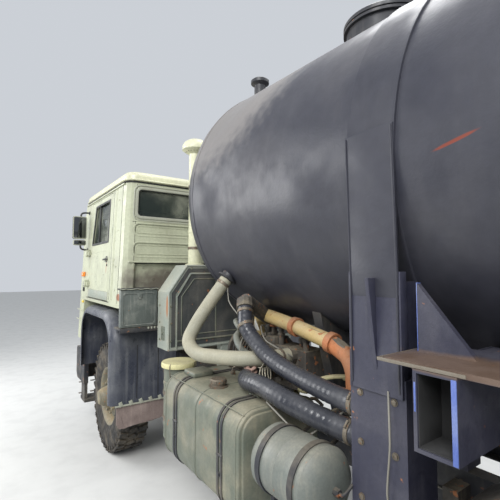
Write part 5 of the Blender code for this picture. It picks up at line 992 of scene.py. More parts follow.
RIB_PITCH, CLAMP_HALF = 0.032, 0.011
RISER = ((0.80, 3.10, 1.84), (0.92, 3.075, 1.68), (1.03, 3.06, 1.52), (1.085, 3.07, 1.41),
         (1.07, 3.17, 1.345), (1.02, 3.33, 1.345), (0.965, 3.48, 1.355), (0.88, 3.57, 1.358),
         (0.77, 3.61, 1.355), (0.64, 3.61, 1.355))
UPPER = ((0.86, 3.44, 1.66), (0.90, 3.50, 1.56), (0.895, 3.60, 1.47), (0.89, 3.75, 1.395),
         (0.895, 3.95, 1.350), (0.90, 4.15, 1.325), (0.90, 4.33, 1.31), (0.90, 4.41, 1.31))
LOWER = ((0.64, 3.46, 1.24), (0.76, 3.465, 1.24), (0.88, 3.51, 1.24), (0.965, 3.62, 1.25),
         (0.985, 3.80, 1.26), (0.985, 4.03, 1.235), (0.925, 4.24, 1.19), (0.90, 4.35, 1.18),
         (0.90, 4.41, 1.18))
STEEL_PIPE = ((0.42, 3.02, 1.30), (0.45, 3.05, 1.46), (0.53, 3.18, 1.565), (0.60, 3.35, 1.585),
              (0.63, 3.70, 1.545), (0.655, 4.00, 1.50), (0.67, 4.13, 1.45), (0.675, 4.18, 1.36),
              (0.675, 4.185, 1.22))


def hose(route, radius, ribs=0.0):
    """A rubber hose along its route, with its winding showing as ribs."""
    points = even(smooth_route([at(*place) for place in route], 16), RIB_PITCH / 4 if ribs else 0.015)

    def size(reach):
        swell = 0.0012 * noise.noise(Vector((reach * 9, radius * 50, 0)))
        return radius + ribs * math.sin(math.tau * reach / RIB_PITCH) + swell
    return tube(points, size, 24)


def collar(route, share, radius):
    """A hose clamp with its screw box, at a share of the route."""
    points = even(smooth_route([at(*place) for place in route], 16), 0.01)
    spot = min(int(share * (len(points) - 1)), len(points) - 2)
    here, way = points[spot], (points[spot + 1] - points[spot]).normalized()
    size, half = radius + 0.004, CLAMP_HALF
    ring = lathe(((-half, size - 0.002), (0.002 - half, size), (half - 0.002, size), (half, size - 0.002),
                  (half, radius - 0.004), (-half, radius - 0.004), (-half, size - 0.002)), here, way, 32)
    out = way.orthogonal().normalized()
    box, across = here + out * (size + 0.004), way.cross(out) * 0.018
    return [ring, rod(box - across, box + across, 0.006, 10, 0.001)]


def loose_loop(middle, way, radius, thick, turn, sag=0.0):
    """One turn of cord tied round something."""
    out = way.orthogonal().normalized()
    up = way.cross(out)
    points = []
    for step in range(25):
        angle = math.tau * step / 24
        swell = radius * (1 + 0.06 * math.sin(3 * angle + turn))
        point = middle + out * math.cos(angle) * swell + up * math.sin(angle) * swell
        drop = -sag if math.sin(angle + turn) < -0.4 else 0
        point += way * 0.012 * math.sin(angle * 2 + turn) + Z_AXIS * drop
        points.append(point)
    return tube(points, thick, 7, ends=False)


def make_hoses():
    add("riser_hose", [hose(RISER, 0.047)], hose_beige, "root", ("hose_riser",))
    add("upper_hose", [hose(UPPER, 0.0490, 0.0007)], hose_black, "root", ("hose_upper",),
        sharp=180)
    add("lower_hose", [hose(LOWER, 0.0540, 0.0008)], hose_black, "root", ("hose_lower",),
        sharp=180)
    clamps = []
    for route, radius in ((RISER, 0.048), (UPPER, 0.050), (LOWER, 0.055)):
        for share in (0.035, 0.955):
            clamps += collar(route, share, radius)
    clamps += collar(UPPER, 0.12, 0.050) + collar(RISER, 0.90, 0.048)
    add("hose_clamps", clamps, bolt_steel)
    ties = []
    middle = at(0.82, 3.598, 1.357)
    way = Vector((-0.95, 0.25, 0)).normalized()
    for count in range(7):
        ties.append(loose_loop(middle + way * (count - 3) * 0.011, way, 0.052 + 0.002 * (count % 3), 0.0042,
                               count * 1.9, 0.012 * (count % 2)))
    for count in range(6):
        start = middle + way * (count - 2.5) * 0.012 + Vector((0.02, 0.03, -0.045))
        hang = ((0, 0, 0), (0.010, 0.012 * (count % 3), -0.035),
                (0.004 * count - 0.01, 0.018, -0.075 - 0.010 * (count % 4)),
                (0.012 - 0.005 * count, 0.010, -0.10 - 0.014 * (count % 3)))
        ties.append(tube([start + Vector(place) for place in hang], 0.0035, 7))
    add("rope_tie", ties, rope, sharp=180)
    rag = []
    for count in range(3):
        rag.append(loose_loop(at(0.905 - count * 0.010, 3.535 + count * 0.016, 1.312 - 0.01 * count),
                              Vector((0.5, -0.8, 0.1)).normalized(), 0.020, 0.012, count * 2.0))
    add("cloth_wrap", rag, pink_rag, sharp=180)
    bends = [at(*place) for place in STEEL_PIPE]
    warm = tube(even(smooth_route(bends[:6], 12), 0.02), 0.0465, 24)
    rusty = tube(even(smooth_route(bends[5:], 12), 0.015), 0.0475, 24)
    bands = [hoop(at(*place), way, 0.047, 0.060, 0.02, 28)
             for place, way in (((0.657, 4.01, 1.498), (0.02, 0.97, -0.2)),
                                ((0.63, 3.68, 1.547), (0.03, 1, -0.1)))]
    add("steel_pipe_paint", [warm], pipe_yellow, "root", sharp=60)
    add("steel_pipe_elbow", [rusty, *bands], pipe_rust, "root", sharp=60)
    small = [bent_rod([(0.62, 3.05, 1.46), (0.72, 3.12, 1.42), (0.76, 3.25, 1.35), (0.70, 3.38, 1.29),
                       (0.62, 3.42, 1.27)], 0.024, 18, 10),
             bent_rod([(0.50, 2.95, 1.40), (0.60, 2.98, 1.50), (0.70, 3.08, 1.52), (0.72, 3.22, 1.46),
                       (0.66, 3.36, 1.40)], 0.019, 16, 10)]
    add("small_hoses", small, canister_grey, sharp=60)
    wires = [bent_rod([(0.80, 3.12, 1.80), (0.84, 3.20, 1.70), (0.84, 3.30, 1.62), (0.78, 3.42, 1.50),
                       (0.70, 3.50, 1.40)], 0.0045, 8, 8),
             bent_rod([(0.88, 4.30, 1.26), (0.95, 4.10, 1.08), (1.00, 4.00, 1.14), (1.01, 3.86, 1.20)], 0.005,
                      8, 8),
             bent_rod([(0.62, 3.20, 1.395), (0.70, 3.22, 1.44), (0.80, 3.30, 1.40), (0.86, 3.40, 1.30),
                       (0.84, 3.55, 1.20), (0.78, 3.70, 1.18)], 0.006, 8, 8),
             bent_rod([(0.56, 3.30, 1.39), (0.60, 3.32, 1.50), (0.70, 3.40, 1.52), (0.74, 3.52, 1.44),
                       (0.66, 3.68, 1.36)], 0.005, 8, 8),
             bent_rod([(0.99, 4.60, 1.44), (1.00, 4.61, 1.25), (0.995, 4.59, 1.05), (0.985, 4.60, 0.92)],
                      0.004, 8, 8)]
    add("loose_wires", wires, wire_grey, sharp=180)
    tag = prism([(at(0.80, 3.52, 0).x, 1.52), (0.845, 1.52), (0.835, 1.60)], "Y", 3.515 + NOSE, 3.518 + NOSE)
    add("pale_tag", [tag], plate_white)


def make_valves():
    """Cocks, unions and a pressure block among the hoses on the manifold."""
    metal, yellow = [], []
    for side, station, tall in ((0.50, 3.30, 0.10), (0.55, 3.44, 0.13), (0.50, 3.60, 0.08),
                                (0.56, 3.70, 0.11)):
        metal += [pin((side, station, 1.385), (side, station, 1.385 + tall), 0.020, 18, 0.002),
                  pin((side, station, 1.40 + tall * 0.4), (side, station, 1.415 + tall * 0.4), 0.030, 6,
                      0.002)]
        metal.append(pin((side, station, 1.385 + tall), (side, station, 1.40 + tall), 0.011, 12, 0.002))
        yellow.append(lathe(((0, 0.012), (0.004, 0.034), (0.010, 0.036), (0.016, 0.034), (0.020, 0.012)),
                            at(side, station, 1.392 + tall), Z_AXIS, 20))
    metal += [slab((0.46, 3.32, 1.385), (0.60, 3.42, 1.44), 0.010),
              slab((0.60, 3.26, 1.16), (0.63, 3.40, 1.30), 0.008)]
    for station in (3.27, 3.36, 3.50, 3.58, 3.68):
        for height in (1.17, 1.34):
            metal += bolt(at(0.6005, station, height), X_AXIS, 0.010)
    metal += [pin((0.44, 3.05, 1.385), (0.44, 3.22, 1.42), 0.022, 16, 0.002),
              pin((0.30, 3.00, 1.39), (0.30, 3.00, 1.50), 0.030, 18, 0.003)]
    for station in (2.80, 3.26):
        for across, up in around(8, 0.162):
            metal += bolt(at(0.42 + across, station, 1.24 + up), Y_AXIS, 0.009)
    for step in range(9):
        metal.append(lathe(((0, 0.148), (0, 0.166), (0.008, 0.166), (0.008, 0.148)),
                           at(0.42, 2.86 + step * 0.038, 1.24), Y_AXIS, 36))
    add("manifold_cocks", metal, iron)
    add("cock_wheels", yellow, pipe_rust)


# Mudguards, locker and flap

GUARD_FRONT, GUARD_REAR, GUARD_TOP, GUARD_ARC = 0.54, 1.90, 1.52, 0.34
GUARD_FRONT_FOOT, GUARD_REAR_FOOT = 0.78, 0.66
SHOULDER = GUARD_TOP - GUARD_ARC


def guard_arc(centre, start):
    """A quarter turn of the guard's path about a station, from this angle down."""
    made = []
    for step in range(13):
        angle = start - math.pi / 2 * step / 12
        way = (math.cos(angle), math.sin(angle))
        made.append(((centre + way[0] * GUARD_ARC, SHOULDER + way[1] * GUARD_ARC), way))
    return made


def guard_path():
    """Stations and heights along the guard, each with its outward direction."""
    rise, fall = SHOULDER - GUARD_FRONT_FOOT, SHOULDER - GUARD_REAR_FOOT
    start, stop = GUARD_FRONT + GUARD_ARC, GUARD_REAR - GUARD_ARC
    return [*(((GUARD_FRONT, GUARD_FRONT_FOOT + rise * step / 4), (-1, 0)) for step in range(4)),
            *guard_arc(start, math.pi),
            *(((start + share * (stop - start), GUARD_TOP), (0, 1)) for share in (0.25, 0.5, 0.75)),
            *guard_arc(stop, math.pi / 2),
            *(((GUARD_REAR, SHOULDER - fall * step / 6), (1, 0)) for step in range(1, 7))]


def guard_shell():
    """The guard's moulded skin: a section with a soft outer shoulder, swept along the arch."""
    section = [(0.652, 0.0), (0.70, 0.0), (0.80, 0.0), (0.84, -0.004), (0.88, 0.0), (1.02, 0.0),
               (1.05, -0.005), (1.08, 0.0), (1.20, -0.001), (1.235, -0.006), (1.265, -0.018), (1.285, -0.036),
               (1.298, -0.066), (1.298, -0.088), (1.289, -0.088), (1.277, -0.042), (1.245, -0.020),
               (1.20, -0.012), (0.652, -0.012)]
    shape = bmesh.new()
    rings = []
    for count, ((station, height), (out, up)) in enumerate(guard_path()):
        ring = []
        for side, inset in section:
            wave = 0.0025 * noise.noise(Vector((side * 5, count * 0.35, 0))) if inset > -0.008 else 0
            reach = inset + wave
            ring.append(shape.verts.new(at(side, station + out * reach, height + up * reach)))
        rings.append(ring)
    for first, second in zip(rings, rings[1:]):
        for step in range(len(section)):
            follow = (step + 1) % len(section)
            shape.faces.new((first[step], first[follow], second[follow], second[step]))
    shape.faces.new(rings[0])
    shape.faces.new(rings[-1])
    bmesh.ops.recalc_face_normals(shape, faces=shape.faces)
    return shape


def flap_shape():
    """A hanging rubber sheet, longer at its outer corner, with a slow ripple."""
    outline = [(0.745, 0.69), (0.745, 0.52), (0.76, 0.485), (0.79, 0.475), (1.16, 0.447), (1.215, 0.455),
               (1.235, 0.49), (1.235, 0.69)]
    shape = prism(outline, "Y", 1.868 + NOSE, 1.880 + NOSE)
    bmesh.ops.triangulate(shape, faces=shape.faces)
    for _ in range(3):
        long = [edge for edge in shape.edges if edge.calc_length() > 0.03]
        bmesh.ops.subdivide_edges(shape, edges=long, cuts=1)
    for vert in shape.verts:
        free = (0.69 - vert.co.z) / 0.24
        ripple = 0.014 * math.sin(vert.co.x * 16) - 0.006 * math.sin(vert.co.z * 40)
        vert.co.y += free * (0.02 + ripple)
    return shape


def locker():
    """The box behind the guard: its face, dented cover, the cover's edge and the ledge below."""
    box = slab((0.922, 2.0125, 1.392), (1.268, 2.0695, 1.738), 0.010, 3)
    face = [frame_strip(rounded((0.945, 1.415), (1.245, 1.700), 0.02), "Y", 2.0705 + NOSE, 0.012, 0.008, 6)]
    for height in (1.43, 1.69):
        for place in (0.96, 1.23):
            face += bolt(at(place, 2.0695, height), Y_AXIS, 0.007)
    face += [slab((1.07, 2.068, 1.66), (1.12, 2.078, 1.70), 0.004),
             pin((1.095, 2.07, 1.655), (1.095, 2.082, 1.655), 0.009, 14, 0.002)]
    top = slab((0.915, 1.99, 1.736), (1.275, 2.078, 1.750), 0.004)
    bmesh.ops.subdivide_edges(top, edges=[edge for edge in top.edges if edge.calc_length() > 0.2], cuts=16)
    for vert in top.verts:
        vert.co.z += 0.006 * noise.noise(Vector((vert.co.x * 22, vert.co.y * 6, 3)))
        vert.co.y += 0.004 * noise.noise(Vector((vert.co.x * 30, 9, 1)))
    points = []
    for step in range(15):
        station = 2.0795 + 0.002 * math.sin(step * 2.1)
        points.append(at(0.918 + 0.356 * step / 14, station, 1.741 + 0.003 * math.sin(step * 1.7)))
    edge = tube(points, 0.0035, 6)
    ledge = [slab((0.90, 1.895, 1.374), (1.275, 2.080, 1.390), 0.004),
             slab((0.90, 2.072, 1.350), (1.275, 2.082, 1.380), 0.003)]
    bits = [slab((0.915 + step * 0.030, 2.078, 1.372), (0.930 + step * 0.030, 2.086, 1.392), 0.003)
            for step in range(4)]
    return [box], face, [top], [edge, *bits], ledge


def make_guards():
    add_pair("guard_skin", [guard_shell()], guard_black, "root", "front_mudguard_*",
             sharp=50)
    seams = [slab((place, 1.8975, 0.70), (place + 0.005, 1.9022, 1.20), 0.001) for place in (0.838, 1.048)]
    seams.append(slab((0.66, 0.90, 1.519), (1.24, 0.906, 1.5225), 0.001))
    add_pair("guard_seams", seams, gap_and_shade_black)
    tabs = []
    for count in range(5):
        place = 0.80 + count * 0.095
        tab = slab((place, 1.898, 0.655), (place + 0.034, 1.906, 0.700), 0.003)
        bmesh.ops.rotate(tab, verts=tab.verts, cent=at(place, 1.90, 0.67),
                         matrix=Matrix.Rotation(0.35, 3, "Y"))
        tabs += [tab, *bolt(at(place + 0.016, 1.905, 0.682), Y_AXIS, 0.006)]
    tabs.append(slab((0.74, 1.8975, 0.648), (1.25, 1.9035, 0.664), 0.002))
    add_pair("guard_tabs", tabs, gasket_lip)
    stays = [bent_rod([(0.50, station, 1.05), (0.58, station, 1.30), (0.70, station, 1.44),
                       (0.95, station, 1.46), (1.20, station, 1.46)], 0.012, 10)
             for station in (0.95, 1.55)]
    for station in (0.95, 1.55):
        for place in (0.75, 1.10):
            stays += bolt(at(place, station, 1.5185), Z_AXIS, 0.010)
    add_pair("guard_stays", stays, steel)
    add_pair("guard_flap", [flap_shape()], flap_finish, sharp=60)
    box, face, top, edge, ledge = locker()
    add_pair("locker_box", box + face, locker_grey)
    add_pair("locker_cover", top, gasket)
    add_pair("locker_edges", edge, gasket_lip)
    add_pair("locker_ledge", ledge, steel)


# Shroud and intake

STACK = (0.66, 2.31)


def shroud_outline(inset=0.0):
    half, narrow = 0.97 - inset, 0.80 - inset * 0.6
    low, shoulder, top = 1.22 + inset, 1.72 - inset * 0.3, 1.96 - inset
    return [(-half, low), (half, low), (half, shoulder), (narrow, top), (-narrow, top), (-half, shoulder)]


def outline_tube(outline, station, radius):
    """A thin tube that follows an outline drawn across the truck."""
    points = []
    for (first, second), (other, far) in zip(outline, outline[1:] + outline[:1]):
        for step in range(6):
            points.append(at(first + (other - first) * step / 6, station, second + (far - second) * step / 6))
    return tube([*points, points[0]], radius, 8, ends=False)


def make_shroud():
    # A flat dark sheet across the shroud's back: painted shade for its shaded inside.
    add("shroud_shade_panel", [prism(shroud_outline(0.030), "Y", 2.4295 + NOSE, 2.433 + NOSE)], shroud_shade_sheet, "root")
    flange = [outline_tube(shroud_outline(0.008), 2.428, 0.011),
              outline_tube(shroud_outline(0.008), 2.204, 0.009)]
    add("shroud_flange", flange, shroud_green)
    ribs = [outline_tube(shroud_outline(0.075), 2.434, 0.008),
            outline_tube(shroud_outline(0.125), 2.434, 0.005)]
    for side in (-0.5, 0.0, 0.5):
        ribs.append(slab((side - 0.006, 2.431, 1.30), (side + 0.006, 2.438, 1.84), 0.002))
    add("shroud_ribs", ribs, box_green, "root")
    heads = []
    for side in (0.25, 0.75):
        heads += bolt(at(side, 2.433, 1.93), Y_AXIS, 0.009) + bolt(at(side, 2.433, 1.26), Y_AXIS, 0.009)
    for height in (1.30, 1.45, 1.60):
        heads += bolt(at(0.971, 2.25, height), X_AXIS, 0.008) + bolt(at(0.945, 2.433, height), Y_AXIS, 0.008)
    heads += [slab((0.968, 2.29, 1.30), (0.9765, 2.36, 1.42), 0.003),
              pin((0.972, 2.325, 1.36), (0.985, 2.325, 1.36), 0.012, 14, 0.002)]
    add("shroud_fasteners", both(heads), box_green)
    stack = lathe(((0, 0), (0, 0.085), (0.012, 0.085), (0.016, 0.062), (0.30, 0.0595), (0.302, 0.0635),
                   (0.325, 0.0635), (0.328, 0.0595), (1.055, 0.0595), (1.060, 0.070), (1.085, 0.112),
                   (1.094, 0.124), (1.112, 0.1255), (1.135, 0.122), (1.165, 0.106), (1.188, 0.072),
                   (1.197, 0.030), (1.199, 0)),
                  at(*STACK, 1.9605), Z_AXIS, 56)
    add("intake_stack", [stack], roof_cream, "root", ("air_intake",), sharp=40)
    rings = [hoop(at(*STACK, height), Z_AXIS, 0.060, 0.0645, 0.012, 40)
             for height in (2.12, 2.70)]
    mesh = []
    for (near, low), (far, high) in zip(around(20, 0.088), around(20, 0.104)):
        mesh.append(pin((STACK[0] + near, STACK[1] + low, 3.030), (STACK[0] + far, STACK[1] + high, 3.058),
                        0.004, 6))
    add("intake_bands", rings + mesh, bolt_steel)


# Tanks and boxes along the frame

def make_fuel_tank():
    low, high, corner = (0.62, 0.60), (1.192, 1.17), 0.12
    front, rear = 2.90, 3.87
    body = prism(rounded(low, high, corner, 8), "Y", front + NOSE + 0.012, rear + NOSE - 0.012, 0.010, 3)
    ends = [prism(rounded((low[0] + 0.02, low[1] + 0.02), (high[0] - 0.02, high[1] - 0.02), corner - 0.02, 8),
                  "Y", start + NOSE, stop + NOSE, 0.008, 3)
            for start, stop in ((front, front + 0.03), (rear - 0.03, rear))]
    beads = []
    for station in (front + 0.035, rear - 0.035, (front + rear) / 2):
        points = [Vector((first, station + NOSE, second)) for first, second in rounded(low, high, corner, 8)]
        beads.append(tube([*points, points[0]], 0.0045, 8, ends=False))
    points = [at(1.15, front + 0.02, 1.155), at(1.15, rear - 0.02, 1.155)]
    beads.append(tube(points, 0.0035, 8))
    pad = [slab((0.92, 2.98, 1.166), (1.08, 3.14, 1.205), 0.014, 3),
           slab((0.86, 3.62, 1.166), (0.96, 3.72, 1.180), 0.005)]
    add("fuel_tank_skin", [body, *ends, *beads, *pad], box_green, "root", ("fuel_tank",),
        sharp=40)
    straps = []
    for share in (0.2, 0.8):
        middle = front + (rear - front) * share
        for shift in (-0.026, 0.010):
            outer = rounded((low[0] - 0.004, low[1] - 0.006), (high[0] + 0.006, high[1] + 0.006),
                            corner + 0.004, 8)
            inner = rounded((low[0] + 0.002, low[1] + 0.001), (high[0] - 0.001, high[1] - 0.001), corner, 8)
            straps.append(band_between(outer, inner, middle + shift, 0.018))
        straps += bolt(at(1.198, middle, 0.80), X_AXIS, 0.010)
        straps += [pin((1.190, middle - 0.03, 0.90), (1.190, middle + 0.03, 0.90), 0.011, 12, 0.002)]
    add("fuel_tank_straps", straps, steel)
    cap = lathe(((0, 0.062), (0.006, 0.062), (0.008, 0.046), (0.022, 0.046), (0.024, 0.053), (0.044, 0.053),
                 (0.050, 0.047), (0.050, 0)),
                at(1.03, 3.385, 1.170), Z_AXIS, 40)
    grips = [slab((1.025 + side, 3.38 + along, 1.196), (1.035 + side, 3.39 + along, 1.214), 0.002)
             for side, along in around(8, 0.050)]
    unions = [pin((0.80, 3.20, 1.169), (0.80, 3.20, 1.195), 0.018, 6, 0.002),
              bent_rod([(0.80, 3.20, 1.19), (0.80, 3.20, 1.215), (0.76, 3.22, 1.225), (0.66, 3.26, 1.20),
                        (0.60, 3.28, 1.12)], 0.006, 8)]
    add("fuel_cap", [cap, *grips, *unions], bolt_steel)


def band_between(outer, inner, station, wide):
    """A flat band round an outline, between its outer and its inner line."""
    shape = bmesh.new()
    rings = []
    for outline, place in ((outer, station), (outer, station + wide), (inner, station + wide),
                           (inner, station)):
        rings.append([shape.verts.new(at(first, place, second)) for first, second in outline])
    for first, second in zip(rings, rings[1:] + rings[:1]):
        for step in range(len(first)):
            follow = (step + 1) % len(first)
            shape.faces.new((first[step], first[follow], second[follow], second[step]))
    bmesh.ops.recalc_face_normals(shape, faces=shape.faces)
    return shape


def make_receiver():
    start, long = at(1.03, 3.91, 0.97), 0.45
    skin = lathe(((0.001, 0), (0.002, 0.05), (0.012, 0.105), (0.030, 0.140), (0.055, 0.1575), (0.060, 0.1615),
                  (0.066, 0.1595), (long / 2 - 0.004, 0.1595), (long / 2, 0.1625), (long / 2 + 0.004, 0.1595),
                  (long - 0.066, 0.1595), (long - 0.060, 0.1615), (long - 0.055, 0.1575),
                  (long - 0.030, 0.140), (long - 0.012, 0.105), (long - 0.002, 0.05), (long - 0.001, 0)),
                 start, Y_AXIS, 64)
    add("receiver_skin", [skin], canister_grey, "root", ("air_receiver",), sharp=40)
    bands = [hoop(start + Y_AXIS * place, Y_AXIS, 0.160, 0.1665, 0.016, 56) for place in (0.11, 0.34)]
    for place in (0.11, 0.34):
        bands += [slab((1.06, 3.91 + place - 0.014, 0.785), (1.10, 3.91 + place + 0.014, 0.835), 0.004),
                  pin((1.08, 3.91 + place, 0.77), (1.08, 3.91 + place, 0.85), 0.006, 10)]
    bands += [pin((1.03, 4.355, 0.97), (1.03, 4.385, 0.97), 0.018, 6, 0.002),
              pin((1.03, 4.13, 0.79), (1.03, 4.13, 0.815), 0.016, 6, 0.002),
              bent_rod([(1.03, 4.38, 0.97), (1.03, 4.40, 0.97), (1.0, 4.41, 0.99), (0.92, 4.40, 1.02),
                        (0.84, 4.38, 1.03)], 0.007, 10)]
    add("receiver_bands", bands, steel)


def make_canister():
    foot = at(1.01, 2.75, 0.641)
    skin = lathe(((0, 0), (0, 0.100), (0.012, 0.1145), (0.10, 0.1145), (0.104, 0.1175), (0.112, 0.1175),
                  (0.116, 0.1145), (0.40, 0.1145), (0.404, 0.118), (0.420, 0.118), (0.424, 0.1145),
                  (0.535, 0.1145), (0.536, 0)), foot, Z_AXIS, 56)
    cap = lathe(((0.530, 0.112), (0.530, 0.134), (0.538, 0.1352), (0.558, 0.1352), (0.566, 0.130),
                 (0.572, 0.100), (0.5775, 0.055), (0.5785, 0)), foot, Z_AXIS, 56)
    nut = bolt(foot + Z_AXIS * 0.572, Z_AXIS, 0.016, 0.006)
    add("canister_skin", [skin], box_green, "root", ("filter_canister",), sharp=40)
    add("canister_lid", [cap, *nut], canister_cap)
    bands = [hoop(foot + Z_AXIS * height, Z_AXIS, 0.1150, 0.1205, 0.012, 48) for height in (0.16, 0.34)]
    clips = []
    for side, along in around(4, shift=0.4):
        out = Vector((side, along, 0))
        wire = ((0.119, 0.41), (0.129, 0.45), (0.139, 0.52), (0.1365, 0.555), (0.128, 0.567))
        clips.append(pipe([foot + out * reach + Z_AXIS * height for reach, height in wire], 0.004, 8))
    arms = [slab((0.60, 2.70, height), (0.90, 2.80, height + 0.03), 0.006) for height in (0.78, 0.96)]
    add("canister_bands", bands + clips, bolt_steel)
    add("canister_arms", arms, yellow_paint_and_highlight)


def make_cradle():
    """The cradle's raised ribs, edges and bolts over its plain sheet, thin blue strips of painted highlight
    on its lit edges, rusty plate lips, and black sheets of painted shade inside the open beam.
    """
    rib = prism([(0.989, 1.50), (0.989, 1.875), (1.040, 1.875)], "Y", 4.535 + NOSE, 4.553 + NOSE, 0.002)
    edge = [slab((0.988, 4.418, 1.42), (0.993, 4.426, 1.90), 0.001),
            slab((0.952, 4.655, 1.42), (0.9925, 4.663, 1.90), 0.001)]
    bars = [slab((0.62, 4.816, 1.598), (1.178, 4.822, 1.604), 0.001)]
    add("bracket_rib", both([rib, *bars]), cradle_blue)
    # Thin blue strips of painted highlight along the bracket's lit edges.
    highlight_strips = [slab((1.1775, 4.823, 1.47), (1.1815, 4.829, 1.56), 0.001),
              slab((1.1775, 4.938, 1.352), (1.1825, 4.954, 1.592), 0.002),
              slab((0.954, 4.7195, 1.61), (0.981, 4.7225, 1.86), 0.001)]
    add("bracket_edges", both(edge), cradle_blue)
    add("bracket_painted_highlights", both(highlight_strips), painted_edge_highlight)
    bolts = []
    for height in (0.98, 1.20, 1.40):
        bolts += bolt(at(0.9805, 4.46, height), X_AXIS, 0.012) + bolt(at(0.9805, 4.62, height), X_AXIS, 0.012)
    add("bracket_bolts", both(bolts), bolt_steel)
    lips = [slab((0.66, 4.692, 1.602), (1.18, 4.6965, 1.6135), 0.001),
            slab((1.177, 4.692, 1.602), (1.182, 4.98, 1.6135), 0.001)]
    add("plate_lips", both(lips), worn_lip)
    # Black sheets of painted shade inside the open box beam.
    inside = [slab((1.04, 4.832, 1.362), (1.172, 4.944, 1.366)),
              slab((1.03, 4.832, 1.36), (1.04, 4.944, 1.592)),
              slab((1.04, 4.832, 1.366), (1.172, 4.8345, 1.59)),
              slab((1.04, 4.9415, 1.366), (1.172, 4.944, 1.59))]
    add("beam_shade_lining", both(inside), gap_and_shade_black)


# Inside the cab

SEAT_SIDE, SEAT_FLOOR, SEAT_TOP, BACK_TOP = (0.48, 0.96), 1.61, 2.03, 2.55
PAD_CELL, PAD_SWELL, PAD_FRAMES = 0.012, 0.014, 20


def swollen(name, low, high):
    """A foam pad: its block is filled by a short cloth run, then smoothed."""
    shape = slab(low, high, 0.03, 3)
    mesh = bpy.data.meshes.new(name)
    shape.to_mesh(mesh)
    shape.free()
    pad = bpy.data.objects.new(name, mesh)
    bpy.context.collection.objects.link(pad)
    pad.select_set(True)
    bpy.context.view_layer.objects.active = pad
    remesh = pad.modifiers.new("cells", "REMESH")
    remesh.mode = "VOXEL"
    remesh.voxel_size = PAD_CELL
    bpy.ops.object.modifier_apply(modifier="cells")
    before = [vert.co.copy() for vert in pad.data.vertices]
    cloth = pad.modifiers.new("filling", "CLOTH")
    cloth.settings.use_pressure = True
    cloth.settings.uniform_pressure_force = 4
    cloth.settings.effector_weights.gravity = 0
    cloth.point_cache.frame_start, cloth.point_cache.frame_end = 1, PAD_FRAMES
    for moment in range(1, PAD_FRAMES + 1):
        bpy.context.scene.frame_set(moment)
    bpy.ops.object.modifier_apply(modifier="filling")
    bpy.context.scene.frame_set(1)
    for vert, start in zip(pad.data.vertices, before):
        move = vert.co - start
        if move.length > PAD_SWELL:
            vert.co = start + move.normalized() * PAD_SWELL
    pad.select_set(False)
    smooth = pad.modifiers.new("smooth", "SUBSURF")
    smooth.levels = smooth.render_levels = 1
    pad.data.polygons.foreach_set("use_smooth", [True] * len(pad.data.polygons))
    return pad


def dressed(pad, side):
    """Puts a foam pad, or its mirrored copy, in the cab in seat cloth."""
    if side < 0:
        for vert in pad.data.vertices:
            vert.co.x *= -1
        pad.data.flip_normals()
    pad.data.materials.clear()
    pad.data.materials.append(seat_cloth)
    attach(pad, "cab")


def copied(pad, name):
    other = pad.copy()
    other.data = pad.data.copy()
    other.name = name
    bpy.context.collection.objects.link(other)
    return other


def make_seats():
    inner, outer = SEAT_SIDE
    low = swollen("cushion_left", (inner + 0.012, 1.235, 1.905), (outer - 0.012, 1.59, SEAT_TOP - 0.012))
    back = swollen("backrest_left", (inner + 0.012, 1.61, SEAT_TOP - 0.03),
                   (outer - 0.012, 1.728, BACK_TOP - 0.012))
    for pad, name in ((low, "cushion_right"), (back, "backrest_right")):
        other = copied(pad, name)
        dressed(pad, 1)
        dressed(other, -1)
    frame_bits = [slab((inner + 0.096, 1.316, SEAT_FLOOR), (outer - 0.096, 1.644, 1.90), 0.012),
                  slab((inner + 0.01, 1.23, 1.885), (outer - 0.01, 1.735, 1.905), 0.006),
                  slab((inner + 0.02, 1.722, 1.90), (outer - 0.02, 1.738, BACK_TOP - 0.05), 0.006)]
    for place in (inner + 0.13, outer - 0.13):
        frame_bits.append(slab((place - 0.012, 1.25, SEAT_FLOOR), (place + 0.012, 1.72, SEAT_FLOOR + 0.02),
                               0.003))
    add_pair("seat_frame", frame_bits, interior, "cab", "seat_*")
    seams = [slab((inner + 0.03, station, SEAT_TOP - 0.004),
                  (outer - 0.03, station + 0.004, SEAT_TOP + 0.004), 0.001)
             for station in (1.33, 1.45)]
    seams += [slab((inner + 0.03, 1.595, height), (outer - 0.03, 1.603, height + 0.004), 0.001)
              for height in (2.18, 2.34)]
    add_pair("seat_seams", seams, gasket, "cab")


